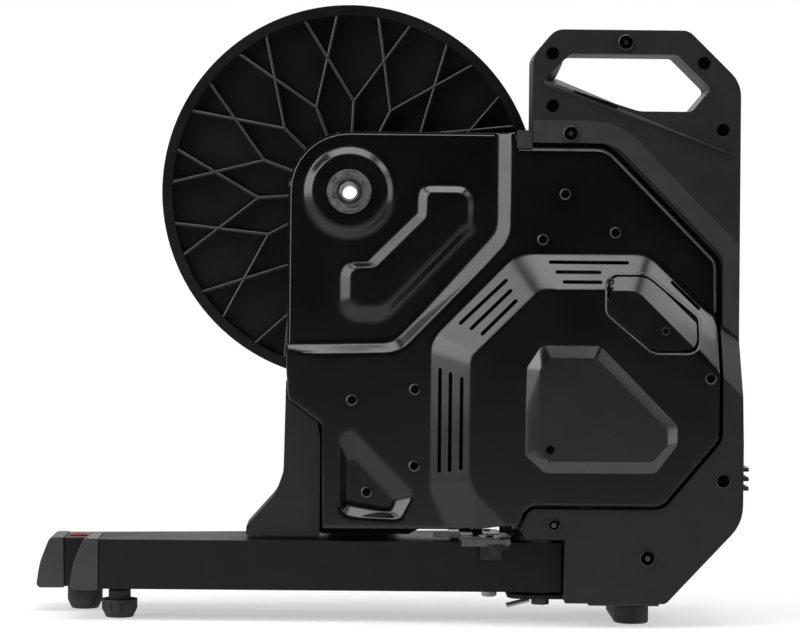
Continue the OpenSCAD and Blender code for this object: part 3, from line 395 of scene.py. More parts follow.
# %% Turned, plated and cast metals
def turned(name, colour, rough, x=0.0, z=0.0, pitch_mm=0.5):
    """Metal off a lathe, with its tool marks round one axis."""
    f = new_finish(name, colour, rough, metal=1.0)
    relief(f, rings(f, x, z, pitch_mm), 0.012, 0.5, "Fac")
    relief(f, noise(f, 3.5, 4), 0.02, 0.3)
    spread(f, noise(f, 7, 5), rough - 0.08, rough + 0.1)
    mottle(f, noise(f, 5, 4), shade(colour, 0.82), shade(colour, 1.12))
    return f["material"]


def plated(name, colour, rough):
    """Stamped or drawn steel with a dark zinc or oxide coat: cloudy, faintly scratched."""
    f = new_finish(name, colour, rough, metal=1.0)
    relief(f, noise(f, 2.5, 5), 0.02, 0.5)
    relief(f, noise(f, 1.2, 3, (14, 1, 1)), 0.008, 0.4)
    spread(f, noise(f, 6, 5), rough - 0.1, rough + 0.12)
    mottle(f, noise(f, 8, 5), shade(colour, 0.7), shade(colour, 1.25))
    return f["material"]


def cast_iron(name, colour, rough, x=0.0, z=0.0):
    """A turned casting: rings where the tool ran, and the pores of the iron between them."""
    f = new_finish(name, colour, rough, metal=1.0)
    relief(f, rings(f, x, z, 1.1), 0.02, 0.5, "Fac")
    relief(f, noise(f, 1.5, 6), 0.06, 0.5)
    spread(f, noise(f, 14, 5), rough - 0.1, rough + 0.14)
    mottle(f, noise(f, 20, 6), shade(colour, 0.75), shade(colour, 1.15))
    return f["material"]


print("metals ready")

# %% [markdown]
# ## The brake and the board
# The brake's core is a stack of thin sheets, its coils are wire laid turn beside turn, and the board
# is green mask over copper tracks. All three are regular patterns, so a wave texture draws the
# sheets and the wire, and a brick texture draws the tracks.

# %% Stacked sheet, wound wire, circuit board
def laminated(name, colour):
    """Stacked electrical sheet: a line at every sheet."""
    f = new_finish(name, colour, 0.45, metal=1.0)
    relief(f, bands(f, 0.7), 0.06, 0.8, "Fac")
    mottle(f, noise(f, 6, 4), shade(colour, 0.7), shade(colour, 1.2))
    return f["material"]


def wound_copper(name, colour):
    """Enamelled wire laid turn beside turn, painted darker in the grooves between turns as shade."""
    f = new_finish(name, colour, 0.3, metal=1.0)
    turns = bands(f, 0.8, 0.4)
    relief(f, turns, 0.18, 1.0, "Fac")
    # The same bands darken the grooves between turns: painted shade.
    mottle(f, turns, shade(colour, 0.45), shade(colour, 1.15), "Fac")
    return f["material"]


def solder_mask(name, colour):
    """A circuit board: green mask with the copper tracks standing a little proud under it."""
    f = new_finish(name, colour, 0.35)
    tree = f["tree"]
    tracks = add(
        tree, "TexBrick", Scale=170, Mortar_Size=0.09, Color1=(*shade(colour, 0.8), 1), Color2=(*colour, 1),
        Mortar=(*shade(colour, 1.9), 1),
    )
    upright = add(tree, "Mapping", Rotation=(math.pi / 2, 0, 0))
    link(tree, f["place"], "Object", upright, "Vector")
    link(tree, upright, "Vector", tracks, "Vector")
    link(tree, tracks, "Color", f["base"], "Base Color")
    relief(f, tracks, 0.05, 0.6, "Fac")
    return f["material"]


print("all kinds of finish ready")

# %% [markdown]
# ## Rounded copies of the hard solids
# A mould can't make a knife edge, and it is the soft edge that catches a soft box as a thin line of
# light. The solids are sharp, so each visible one gets a copy that is welded, cleared of the seams
# that a file of triangles has, and bevelled by a radius that suits its material. A bevel in code is
# kept to edges sharper than a set angle, so cylinders stay round and only true corners turn.

# %% The rounding helper
SEAM_MM = 0.02
FLAT_TURN = math.radians(0.6)
SMOOTH_BELOW = math.radians(38)
SHARP_ABOVE = math.radians(30)
BEVEL_STEPS = 2
FLATS_FIRST = 80  # how much a large flat outweighs its bevels when normals are evened


def welded(node):
    """A bmesh of a solid with its doubled points joined and its flat faces whole again."""
    bm = bmesh.new()
    bm.from_mesh(nodes[node].data)
    bmesh.ops.remove_doubles(bm, verts=bm.verts, dist=SEAM_MM * MM)
    bmesh.ops.dissolve_limit(bm, angle_limit=FLAT_TURN, verts=bm.verts, edges=bm.edges)
    return bm


def show(name, bm, finish, rides_on, stands_for=()):
    """Turns a bmesh into a piece of the trainer, smooth but for its true edges."""
    mesh = bpy.data.meshes.new(name)
    bm.normal_update()
    bm.to_mesh(mesh)
    bm.free()
    mesh.shade_smooth()
    mesh.set_sharp_from_angle(angle=SMOOTH_BELOW)
    mesh.materials.append(finish)
    piece = bpy.data.objects.new(name, mesh)
    scene.collection.objects.link(piece)
    even = piece.modifiers.new("even_flats", "WEIGHTED_NORMAL")
    even.keep_sharp = True
    even.weight = FLATS_FIRST
    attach(piece, rides_on)
    if stands_for:
        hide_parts(*stands_for)
    return piece


def rounded(node, finish, radius_mm):
    """A copy of a solid with its sharp edges turned by radius_mm."""
    bm = welded(node)
    edges = [e for e in bm.edges if e.is_manifold and e.calc_face_angle() > SHARP_ABOVE]
    bmesh.ops.bevel(
        bm, geom=edges, offset=radius_mm * MM, offset_type="OFFSET", segments=BEVEL_STEPS, profile=0.5,
        affect="EDGES", clamp_overlap=True, loop_slide=True,
    )
    show(node + "_shape", bm, finish, body_of[node], (node,))


print("edges over", round(math.degrees(SHARP_ABOVE)), "degrees get rounded")

# %% [markdown]
# ## Outlines and lumps
# The cover of the real trainer is one large moulding. Its forms are simple seen square on: each is
# an outline whose corners have a radius, and a raised or sunk form is the hull between the outline
# at its foot and a smaller one at its top. So an outline is a short list of (x, z, radius) places
# in millimetres from the hub axle, and two helpers turn outlines into closed meshes.

# %% Outlines
ARC_STEP = math.radians(12)


def outline(corners):
    """Places of an outline whose corners are given as (x, z, radius)."""
    places = []
    for i, (x, z, radius) in enumerate(corners):
        here = Vector((x, z))
        if radius == 0:
            places.append(here)
            continue
        back = (Vector(corners[i - 1][:2]) - here).normalized()
        ahead = (Vector(corners[(i + 1) % len(corners)][:2]) - here).normalized()
        half = back.angle(ahead) / 2
        centre = here + (back + ahead).normalized() * radius / math.sin(half)
        start = here + back * radius / math.tan(half) - centre
        end = here + ahead * radius / math.tan(half) - centre
        turn = math.atan2(start.x * end.y - start.y * end.x, start.dot(end))
        steps = max(1, math.ceil(abs(turn) / ARC_STEP))
        for k in range(steps + 1):
            c, s = math.cos(turn * k / steps), math.sin(turn * k / steps)
            places.append(centre + Vector((start.x * c - start.y * s, start.x * s + start.y * c)))
    return places


def circle_outline(x, z, radius, count=48):
    """Places round a circle."""
    turns = [math.tau * i / count for i in range(count)]
    return [Vector((x + radius * math.cos(a), z + radius * math.sin(a))) for a in turns]


print("a square with round corners has", len(outline([(0, 0, 1), (9, 0, 1), (9, 9, 1), (0, 9, 1)])), "places")

# %% Prisms and lumps
def bridge(bm, one, two):
    """Joins two rings of as many points with a belt of faces."""
    for i in range(len(one)):
        j = (i + 1) % len(one)
        bm.faces.new((one[i], one[j], two[j], two[i]))


def prism(places, y0, y1):
    """A closed bmesh: an outline extruded from y0 to y1."""
    bm = bmesh.new()
    near = [bm.verts.new(at(p.x, y0, p.y)) for p in places]
    far = [bm.verts.new(at(p.x, y1, p.y)) for p in places]
    bm.faces.new(near)
    bm.faces.new(far[::-1])
    bridge(bm, far, near)
    bmesh.ops.recalc_face_normals(bm, faces=bm.faces)
    return bm


def hulled(bm):
    """Wraps a bmesh in the hull of its points and drops the points inside it."""
    hull = bmesh.ops.convex_hull(bm, input=bm.verts)
    inside = [v for v in hull["geom_interior"] if isinstance(v, bmesh.types.BMVert)]
    bmesh.ops.delete(bm, geom=inside, context="VERTS")
    return bm


def lump(foot, top, y_foot, y_top):
    """A closed bmesh: the hull between a foot outline and a top outline."""
    bm = bmesh.new()
    for places, y in ((foot, y_foot), (top, y_top)):
        for p in places:
            bm.verts.new(at(p.x, y, p.y))
    hulled(bm)
    bmesh.ops.recalc_face_normals(bm, faces=bm.faces)
    return bm


print("prisms and lumps ready")

# %% Objects that are cut and joined
def as_object(bm):
    """A bmesh as a loose object, to be used by a modifier."""
    mesh = bpy.data.meshes.new("work")
    bm.to_mesh(mesh)
    bm.free()
    made = bpy.data.objects.new("work", mesh)
    scene.collection.objects.link(made)
    return made


def applied(obj):
    """Bakes an object's modifiers into its mesh, so that none is left."""
    bpy.context.view_layer.update()
    baked = bpy.data.meshes.new_from_object(obj.evaluated_get(bpy.context.evaluated_depsgraph_get()))
    obj.modifiers.clear()
    obj.data = baked


def cut(obj, tool, operation="DIFFERENCE"):
    """Cuts one object with another, which is then thrown away."""
    knife = obj.modifiers.new("cut", "BOOLEAN")
    knife.operation = operation
    knife.solver = "EXACT"
    knife.object = tool
    applied(obj)
    bpy.data.objects.remove(tool)


def joined(parts):
    """Several loose objects as one, without merging their surfaces."""
    bm = bmesh.new()
    for part in parts:
        bm.from_mesh(part.data)
        bpy.data.objects.remove(part)
    return as_object(bm)


print("cutting tools ready")

# %% [markdown]
# ## The side cover
# The cover could be a bevelled copy of its solid, but its corners are too soft for that: every
# raised form melts into the next over several millimetres, inside corners too. It is made here
# the way clay would be: the forms are stacked, a voxel remesh fuses them into one even skin, and a
# few rounds of smoothing roll all the edges at once. Vents, screw holes and the door opening are
# cut afterwards, so that they stay crisp, and the skin is given its wall thickness.

# %% The cover's stations and outlines
# How far each face of the cover stands out, and where its back is, as Y
COVER_Y, RECESS_Y, BULGE_Y, BOSS_Y, COVER_BACK_Y = -72, -64, -94, -70, -34.3
# Its outer edge, seen square on
COVER_EDGE = outline([
    (-49, 48.5, 48.4), (133, 48.5, 1), (134.5, 36.8, 1), (206.3, 36.8, 22), (295.6, -53.5, 13),
    (296.6, -120, 0), (297, -195, 16), (251.5, -249.3, 14), (144, -249.3, 11), (136.8, -265.8, 3),
    (124, -266, 2), (108, -268.5, 4), (80, -270.6, 0), (-19.5, -271, 1), (-20.5, -187, 3),
    (-47.5, -167, 4), (-49.3, -143, 0),
])
# The bulge, at its foot and at its top; what lies outside the edge is cut off later
BULGE_FOOT = outline([
    (135, -47.8, 26), (240, -47.6, 22), (345, -148, 0), (345, -345, 0), (116, -345, 0),
    (66, -236, 34), (66, -118.5, 22),
])
BULGE_TOP = outline([
    (152, -77.3, 18), (230, -77, 18), (345, -190, 0), (345, -345, 0), (207, -345, 0),
    (98.2, -236, 26), (98.2, -131, 14),
])
# The sunk panel round the axle
RECESS_FOOT = outline([
    (-90, 90, 0), (128, 90, 0), (132, 22, 6), (131.5, -38, 24), (42, -130, 24), (-15, -131.5, 60),
    (-90, -118, 0),
])
RECESS_FLOOR = outline([
    (-90, 90, 0), (118.2, 90, 0), (118.5, -30, 24), (37, -120.8, 24), (-90, -123.5, 0),
])
# The slope at the rim of the rear half
SHOULDER_DROP = 1.7
SHOULDER_FOOT = outline([
    (100, 36.8, 0), (206.3, 36.8, 22), (295.6, -53.5, 13), (296.6, -120, 0), (297.5, -320, 0), (100, -320, 0),
])
SHOULDER_TOP = outline([
    (100, 29.5, 0), (201.5, 29.5, 18), (282.5, -58, 10), (286, -120, 0), (289, -320, 0), (100, -320, 0),
])
# The small pocket at the lower left
POCKET_FOOT = outline([(-7, -189, 10), (4, -191, 6), (55, -243, 5), (44, -263.5, 5), (-7, -261.5, 11)])
POCKET_FLOOR = outline([(1, -214, 2), (8, -215, 3), (39, -247, 3), (35.5, -257.5, 3), (1, -251.5, 3)])
# The bent boss on the panel: three lumps that overlap, each with its foot and its top
BOOMERANG = [
    ([(54.5, 6, 9), (96, 6, 14), (102.5, -4, 10), (102, -30, 8), (92, -38, 4), (54, -17, 2)],
     [(63.5, -0.5, 5), (90.5, -0.5, 8), (94, -8, 6), (93, -27, 5), (84, -32, 3), (63, -20, 1)]),
    ([(54.5, -16, 2), (88, -20, 2), (98, -32, 8), (32, -101, 8), (8, -90, 2), (10, -60, 2)],
     [(63, -20, 1), (82, -24, 1), (90, -30, 4), (30, -91.5, 5), (16, -84, 1), (22, -61, 1)]),
    ([(-8, -56, 12), (14, -56, 5), (34, -62, 2), (40, -92, 2), (27, -104, 8), (-8, -104, 17)],
     [(2.5, -62, 7), (22, -61, 4), (30, -66, 1), (32, -86, 1), (27, -92.5, 4), (2.5, -92.5, 7)]),
]
print(len(COVER_EDGE), "places round the cover,", len(BULGE_FOOT), "round the bulge")

# %% [markdown]
# ## Stacking the forms
# The cover has two faces, with a step between them. Left of the step it is flat, with the sunk
# panel in its upper half and the small pocket below. Right of the step its rim slopes off by a
# shoulder, and the bulge for the flywheel stands on it. So the plain cover is split in two blocks
# at the step, each block is cut to its own form, and the bulge and the boss are set on them.

# %% Stack the forms
SPLIT_X = 134.3
OVERSHOOT = 9  # a cutting block reaches this far past what it cuts
BOSS_FOOT_R, BOSS_TOP_R = 37, 29.6
SINK = 0.2  # how deep a boss is set into the panel

cover_block = as_object(prism(COVER_EDGE, COVER_Y, COVER_BACK_Y))
rear_block = as_object(prism(COVER_EDGE, COVER_Y, COVER_BACK_Y))
rear_half = [Vector(c) for c in ((SPLIT_X, 60), (320, 60), (320, -300), (SPLIT_X, -300))]
cut(cover_block, as_object(prism(rear_half, COVER_Y - OVERSHOOT, COVER_BACK_Y + OVERSHOOT)))
cut(rear_block, as_object(prism(rear_half, COVER_Y - OVERSHOOT, COVER_BACK_Y + OVERSHOOT)), "INTERSECT")
shoulder = lump(SHOULDER_FOOT, SHOULDER_TOP, COVER_Y + SHOULDER_DROP, COVER_Y)
for place in SHOULDER_FOOT:
    shoulder.verts.new(at(place.x, COVER_BACK_Y + 3, place.y))
cut(rear_block, as_object(hulled(shoulder)), "INTERSECT")
cut(cover_block, as_object(lump(RECESS_FOOT, RECESS_FLOOR, COVER_Y - 1, RECESS_Y)))
cut(cover_block, as_object(lump(POCKET_FOOT, POCKET_FLOOR, COVER_Y - 0.5, RECESS_Y)))
bulge = as_object(lump(BULGE_FOOT, BULGE_TOP, COVER_Y, BULGE_Y))
cut(bulge, as_object(prism(COVER_EDGE, BULGE_Y - 5, COVER_Y + 20)), "INTERSECT")
forms = [cover_block, rear_block, bulge]
for foot, top in BOOMERANG:
    forms.append(as_object(lump(outline(foot), outline(top), RECESS_Y + SINK, BOSS_Y)))
boss_foot, boss_top = circle_outline(0, 0, BOSS_FOOT_R), circle_outline(0, 0, BOSS_TOP_R)
forms.append(as_object(lump(boss_foot, boss_top, RECESS_Y + SINK, BOSS_Y)))
print(len(forms), "forms in the stack")
skin = joined(forms)

# %% Fuse and roll
VOXEL_MM = 1.25
ROLL_FACTOR, ROLL_ROUNDS = 0.5, 6

fuse = skin.modifiers.new("fuse", "REMESH")
fuse.mode = "VOXEL"
fuse.voxel_size = VOXEL_MM * MM
roll = skin.modifiers.new("roll", "SMOOTH")
roll.factor = ROLL_FACTOR
roll.iterations = ROLL_ROUNDS
applied(skin)
print("cover skin:", len(skin.data.polygons), "faces")

# %% Thin the mesh, open the back, give it a wall
KEEP_SHARE = 0.4
COVER_WALL = 2.6
BACK_SKIN = 2.2
OPEN_BEHIND = at(0, COVER_BACK_Y - BACK_SKIN, 0).y

thin = skin.modifiers.new("thin", "DECIMATE")
thin.ratio = KEEP_SHARE
applied(skin)
skin_bm = bmesh.new()
skin_bm.from_mesh(skin.data)
behind = [f for f in skin_bm.faces if f.calc_center_median().y > OPEN_BEHIND]
bmesh.ops.delete(skin_bm, geom=behind, context="FACES")
skin_bm.to_mesh(skin.data)
skin_bm.free()
wall = skin.modifiers.new("wall", "SOLIDIFY")
wall.thickness = COVER_WALL * MM
wall.offset = -1
applied(skin)
print("hollow cover, walls of", COVER_WALL, "mm")

# %% [markdown]
# ## Vents, screw holes and the door
# On the real cover these are holes in the mould, so their edges are the crispest lines on it. Cut
# before the smoothing, they would melt like the rest. All the knives are joined to one tool, since
# one exact cut is much quicker than twenty.

# %% Cut what has to stay crisp
VENT_W = 2.9
HOLE_R, HOLE_SIDES = 2.4, 24
AXLE_HOLE_R = 18.6
# Where each kind of knife starts and ends, as Y
VENT_REACH = (BULGE_Y - 6, COVER_Y + 9)
HOLE_REACH = (BULGE_Y - 4, RECESS_Y + 8)
AXLE_REACH = (BOSS_Y - 4, COVER_BACK_Y - 4)
DOOR_REACH = (BULGE_Y - 4, BULGE_Y + 16)
VENTS = [
    (161.5, -55, 223, -55), (166.5, -62.8, 200.5, -62.8), (172, -70.6, 201, -70.6),
    (90, -104.5, 126, -70), (98.5, -108.5, 129.5, -78), (107, -112.5, 133.5, -86),
    (74, -142, 74, -223), (82.2, -145, 82.2, -222), (91, -148.5, 91, -220), (259.5, -70.5, 281, -91),
]
COVER_SCREWS = [
    (173, -0.5), (155.5, -37), (213.5, -31), (289, -146.5),
    (3.5, -167), (54, -158), (54, -219.5), (16, -241.5),
]
DOOR = [
    (206.6, -64.4, 8), (238.4, -64.4, 18), (280.4, -98.4, 8),
    (279.9, -125.7, 10), (243.2, -125.7, 14), (206.6, -95, 8),
]
END_STEPS = 8


def slot_outline(x0, z0, x1, z1, width):
    """Places of a slot with round ends."""
    along = math.atan2(z1 - z0, x1 - x0)
    places = []
    for x, z, start in ((x1, z1, along - math.pi / 2), (x0, z0, along + math.pi / 2)):
        for k in range(END_STEPS + 1):
            a = start + math.pi * k / END_STEPS
            places.append(Vector((x + width / 2 * math.cos(a), z + width / 2 * math.sin(a))))
    return places


knives = [as_object(prism(slot_outline(*v, VENT_W), *VENT_REACH)) for v in VENTS]
for x, z in COVER_SCREWS:
    knives.append(as_object(prism(circle_outline(x, z, HOLE_R, HOLE_SIDES), *HOLE_REACH)))
knives.append(as_object(prism(circle_outline(0, 0, AXLE_HOLE_R), *AXLE_REACH)))
knives.append(as_object(prism(outline(DOOR), *DOOR_REACH)))
print(len(knives), "knives")
cut(skin, joined(knives))
print("cover with its vents:", len(skin.data.polygons), "faces")

# %% [markdown]
# ## Which piece has which finish
# The cover is smooth semi-gloss black, the frame shells a flat dark coat, the pulley a rough
# casting. Pieces that show get a rounded copy. Pieces that are shut inside stay as they are and
# only take their finish, since nobody can see their edges without a spanner.

# %% The finishes of this trainer
FLY = (197.0, -163.5)  # the axis of the flywheel, which its rings run round
cover_black = moulded("cover_black", (0.0022, 0.0022, 0.0024), 0.22, 0.7, 0.006, 0.42)
door_black = moulded("door_black", (0.0026, 0.0026, 0.0028), 0.25, 0.6, 0.008, 0.42)
cap_grey = moulded("cap_grey", (0.006, 0.006, 0.0065), 0.27, 0.5, 0.01, 0.7)
shell_grey = painted("shell_grey", (0.0112, 0.0112, 0.0118), 0.56, gloss=0.3)
leg_paint = painted("leg_paint", (0.0062, 0.0062, 0.0066), 0.56, 2.2, 0.2)
leg_cap_plastic = moulded("leg_cap_plastic", (0.024, 0.024, 0.026), 0.5, 0.8, 0.04)
pulley_black = moulded("pulley_black", (0.0018, 0.0018, 0.002), 0.38, 1.3, 0.04, 0.4)
port_plastic = moulded("port_plastic", (0.012, 0.012, 0.0125), 0.5)
guard_black = moulded("guard_black", (0.010, 0.010, 0.0105), 0.45, 0.9, 0.04)
idler_plastic = moulded("idler_plastic", (0.03, 0.03, 0.033), 0.4)
belt_rubber = rubber("belt_rubber", (0.010, 0.010, 0.010))
foot_rubber = rubber("foot_rubber", (0.026, 0.026, 0.027))
strip_red = rubber("strip_red", (0.2, 0.02, 0.013), 0.6)
steel = turned("steel", (0.50, 0.50, 0.51), 0.3)
fly_steel = turned("fly_steel", (0.46, 0.46, 0.47), 0.3, *FLY)
hub_dark = turned("hub_dark", (0.10, 0.10, 0.105), 0.35)
pulley_alloy = turned("pulley_alloy", (0.33, 0.33, 0.34), 0.32, *FLY, 0.4)
screw_black = plated("screw_black", (0.05, 0.05, 0.054), 0.38)
leg_steel = plated("leg_steel", (0.045, 0.045, 0.048), 0.42)
lever_zinc = plated("lever_zinc", (0.14, 0.14, 0.145), 0.4)
nut_zinc = plated("nut_zinc", (0.30, 0.30, 0.31), 0.35)
spacer_brass = plated("spacer_brass", (0.55, 0.42, 0.17), 0.3)
flywheel_iron = cast_iron("flywheel_iron", (0.16, 0.16, 0.165), 0.42, *FLY)
stator_sheet = laminated("stator_sheet", (0.17, 0.17, 0.18))
coil_wire = wound_copper("coil_wire", (0.62, 0.26, 0.09))
board_green = solder_mask("board_green", (0.012, 0.07, 0.025))
print("finishes of the trainer ready")

# %% Pieces that show: finish, edge radius in millimetres
SHOWN = {
    "centre_cap": (cap_grey, 0.9), "access_door": (door_black, 0.5),
    "left_frame_shell": (shell_grey, 1.0), "right_frame_shell": (shell_grey, 1.4),
    "front_bracket": (shell_grey, 1.2), "base_casting": (shell_grey, 1.2),
    "frame_plate": (shell_grey, 0.8), "lower_clevis_plate": (leg_paint, 0.8),
    "base_pad": (port_plastic, 0.8), "rear_foot": (foot_rubber, 1.6), "power_port": (port_plastic, 0.6),
    "belt_guard": (guard_black, 1.0), "drive_pulley": (pulley_black, 0.7),
    "cover_screws": (screw_black, 0.3), "centre_cap_screw": (screw_black, 0.25),
    "access_door_screw": (screw_black, 0.2), "frame_bolts": (screw_black, 0.3),
    "guard_screws": (screw_black, 0.3), "hinge_bolts": (screw_black, 0.4), "hinge_nuts": (nut_zinc, 0.4),
    "thrust_washers": (leg_steel, 0.25), "latch_post": (shell_grey, 0.4), "lock_tongue": (nut_zinc, 0.3),
    "axle_locknut": (steel, 0.4), "left_end_cap": (hub_dark, 0.3), "right_end_cap": (steel, 0.4),
    "hub_axle": (steel, 0.3), "freehub_body": (hub_dark, 0.3), "ratchet_ring": (steel, 0.2),
    "shaft_nut": (fly_steel, 0.4), "small_pulley": (pulley_alloy, 0.3), "drive_belt": (belt_rubber, 0.4),
    "idler_wheel": (idler_plastic, 0.4), "idler_pin": (steel, 0.3), "tensioner_arm": (leg_steel, 0.4),
    "near_leg_tube": (leg_paint, 1.6), "far_leg_tube": (leg_paint, 1.6),
    "near_leg_cap": (leg_cap_plastic, 1.4), "far_leg_cap": (leg_cap_plastic, 1.4),
    "near_leg_fittings": (leg_steel, 0.3), "far_leg_fittings": (leg_steel, 0.3),
    "near_latch_lever": (lever_zinc, 0.3), "far_latch_lever": (lever_zinc, 0.3),
    "near_foot": (foot_rubber, 0.7), "far_foot": (foot_rubber, 0.7), "wheel_strip": (strip_red, 0.6),
}
INSIDE = {
    "control_board": board_green, "board_spacers": spacer_brass, "pulley_bearings": steel,
    "freehub_bearings": steel, "flywheel_bearings": fly_steel, "axle_spacers": steel,
    "flywheel": flywheel_iron, "flywheel_shaft": fly_steel, "brake_stator": stator_sheet,
    "brake_coils": coil_wire,
}
print(len(SHOWN), "pieces that show")

# %% Dress the solids
cover_bm = bmesh.new()
cover_bm.from_mesh(skin.data)
bpy.data.objects.remove(skin)
cover = show("side_cover_skin", cover_bm, cover_black, "frame", ("side_cover",))
for node, (finish, radius) in SHOWN.items():
    rounded(node, finish, radius)
for node, finish in INSIDE.items():
    nodes[node].data.materials.clear()
    nodes[node].data.materials.append(finish)
print(len(SHOWN), "rounded pieces,", len(INSIDE), "solids shut inside")
print("made apart:", sorted(set(nodes) - set(SHOWN) - set(INSIDE)))

# %% [markdown]
# ## Trim that needs no solid of its own
# A few thin forms sit on the solids: the black joint round the cover, the facet beside it, the
# crease under the handle, and the rings round the screws. Each is a strip between two lines or a
# profile turned about an axis, so it is drawn from a handful of places.

# %% Strips and offset lines
def strip(inner, outer, y_in, y_out, y_back):
    """A closed bmesh between two lines of places: its face runs from y_in to y_out."""
    bm = bmesh.new()
    rows = []
    for a, b in zip(inner, outer):
        corners = ((a, y_in), (b, y_out), (b, y_back), (a, y_back))
        rows.append([bm.verts.new(at(p[0], y, p[1])) for p, y in corners])
    for one, two in zip(rows, rows[1:]):
        bridge(bm, one, two)
    bm.faces.new(rows[0][::-1])
    bm.faces.new(rows[-1])
    bmesh.ops.recalc_face_normals(bm, faces=bm.faces)
    return bm


def offset_line(line, distance):
    """The line of places shifted to its left-hand side by a distance."""
    moved = []
    for i, p in enumerate(line):
        back = line[max(i - 1, 0)]
        ahead = line[min(i + 1, len(line) - 1)]
        run = (Vector(ahead) - Vector(back)).normalized()
        moved.append((p[0] - run.y * distance, p[1] + run.x * distance))
    return moved


def line_of(corners):
    """The places of an outline as plain pairs."""
    return [(p.x, p.y) for p in outline(corners)]


print("strips ready")

# %% Turned rings and plugs
def turned_ring(bm, x, z, profile, count=40):
    """Adds a closed profile of (radius, y) turned about the line through (x, z) along Y."""
    rows = []
    for i in range(count):
        c, s = math.cos(math.tau * i / count), math.sin(math.tau * i / count)
        rows.append([bm.verts.new(at(x + r * c, y, z + r * s)) for r, y in profile])
    for i in range(count):
        bridge(bm, rows[(i + 1) % count], rows[i])


def plug(bm, x, z, y, radius, depth, count=24):
    """Adds a short closed rod whose face is at y."""
    near = [bm.verts.new(at(p.x, y, p.y)) for p in circle_outline(x, z, radius, count)]
    far = [bm.verts.new(at(p.x, y + depth, p.y)) for p in circle_outline(x, z, radius, count)]
    bm.faces.new(near)
    bm.faces.new(far[::-1])
    bridge(bm, far, near)


print("turned forms ready")

# %% [markdown]
# ## The joint round the cover
# Between the cover and the frame runs a dark joint, and outside it the frame falls away in a narrow
# slope that catches the light from above. Both could be cut into the solids, but the solids would
# grow heavy for two millimetres of form. Two strips laid on the frame's face do as well: a flat
# black one, and one that rises from the frame on its outer side to its full height beside the joint.
# The second is painted a lighter grey than the frame, a painted highlight for that light.

# %% The joint and the facet beside it
SHELL_Y = -70
ON_FACE = 0.05
JOINT_OVER, JOINT_W, JOINT_RISE, JOINT_DEPTH = 0.6, 3.6, 0.25, 26
FACET_RISE, TAB_RISE = 3, 2.6

# One near-black for the dark joint round the cover, and for the black forms that paint shade: the blinds, the
# handle slot and the screw sockets.
joint_and_shade_black = rubber("joint_and_shade_black", (0.0012, 0.0012, 0.0012), 0.9, 0.02)
rim = line_of([(133, 36.8, 0), (206.3, 36.8, 22), (295.6, -53.5, 13), (296.6, -120, 0)])
joint_y = SHELL_Y - JOINT_RISE
joint_in, joint_out = offset_line(rim, -JOINT_OVER), offset_line(rim, JOINT_W)
joint_bm = strip(joint_in, joint_out, joint_y, joint_y, SHELL_Y + JOINT_DEPTH)
show("cover_joint", joint_bm, joint_and_shade_black, "frame")
facet_in = [
    (147, 40.6), (192, 40.6), (205, 40.4), (214, 37), (221.5, 31), (240, 12.3), (270, -18), (298.6, -47.5),
    (300.6, -54), (300.8, -104),
]
facet_out = [
    (147, 58.6), (192, 58.6), (207, 57.2), (218, 53.4), (229, 45.6), (250, 24), (281, -7.4), (312.9, -39),
    (313.2, -54), (313.7, -114),
]
# The facet is painted a lighter grey than the frame: a painted highlight for the light from above.
facet_highlight_grey = painted("facet_highlight_grey", (0.024, 0.024, 0.025), 0.5, gloss=0.35)
facet_bm = strip(facet_in, facet_out, SHELL_Y - FACET_RISE, SHELL_Y - ON_FACE, SHELL_Y + 1)
show("cover_facet", facet_bm, facet_highlight_grey, "frame")
# The tab beside the step takes the same painted highlight.
tab_low, tab_high = [(134.2, 35.9), (146.4, 35.9)], [(134.2, 50.2), (146.4, 50.2)]
tab_bm = strip(tab_low, tab_high, SHELL_Y - TAB_RISE, SHELL_Y - ON_FACE, SHELL_Y + 1)
show("tab_facet", tab_bm, facet_highlight_grey, "frame")
print("joint of", len(rim), "places, facet of", len(facet_in))

# %% [markdown]
# ## The bright edge of the cover
# The cover's outer edge is rolled tighter than its other forms, and it mirrors the lamps as one
# thin line. The voxels of the skin are too coarse for that, so a narrow bevel is laid along the edge,
# in a black lighter than the cover's that paints that line as a highlight. It slopes from just over
# the cover's face to a millimetre under it.

# %% The rolled edge
EDGE_W, EDGE_GAP = 2.7, 0.3
EDGE_RISE, EDGE_FALL, EDGE_BACK = 0.45, 1.15, 2.2
# A lighter copy of the cover's black: a painted highlight for the edge strips, the door rim and the catch.
painted_highlight_black = moulded("painted_highlight_black", (0.014, 0.014, 0.0145), 0.42, 0.7, 0.004, 0.6)


def edge_roll(name, line, face_y):
    """A narrow bevel that runs along the cover's edge, in the lighter black of a painted highlight."""
    inner, outer = offset_line(line, -EDGE_W), offset_line(line, -EDGE_GAP)
    roll_bm = strip(inner, outer, face_y - EDGE_RISE, face_y + EDGE_FALL, face_y + EDGE_BACK)
    show(name, roll_bm, painted_highlight_black, "frame")


upper_left = line_of([(-49.3, -132, 0), (-49, 48.5, 48.4), (116, 48.5, 0)])
rear_upper = line_of([(135.5, 36.8, 0), (206.3, 36.8, 22), (295.6, -53.5, 13), (296.3, -94, 0)])
edge_roll("cover_edge_upper", upper_left, RECESS_Y)
edge_roll("cover_edge_rear", rear_upper, COVER_Y)
print("edges of", len(upper_left), "and", len(rear_upper), "places")

# %% [markdown]
# ## The crease under the handle
# A crease runs down from the handle's opening to the rear edge, where two planes of the moulding
# meet. It is a low ridge: two strips back to back that share their highest line.

# %% The crease
RIDGE = 1.4
crease_top = [(155.5, 90.5), (170, 86), (232, 63), (270, 48), (309, 32)]
crease_mid = [(155.5, 88), (170, 83.6), (232, 60.6), (270, 46.4), (309, 31.6)]
crease_low = [(155.5, 85.8), (170, 81.4), (232, 58.8), (270, 45.2), (309, 31.2)]
for name, side in (("handle_crease", crease_top), ("handle_crease_low", crease_low)):
    crease_bm = strip(crease_mid, side, SHELL_Y - RIDGE, SHELL_Y - ON_FACE, SHELL_Y + 1)
    show(name, crease_bm, shell_grey, "frame")
print("ridge", RIDGE, "mm high")
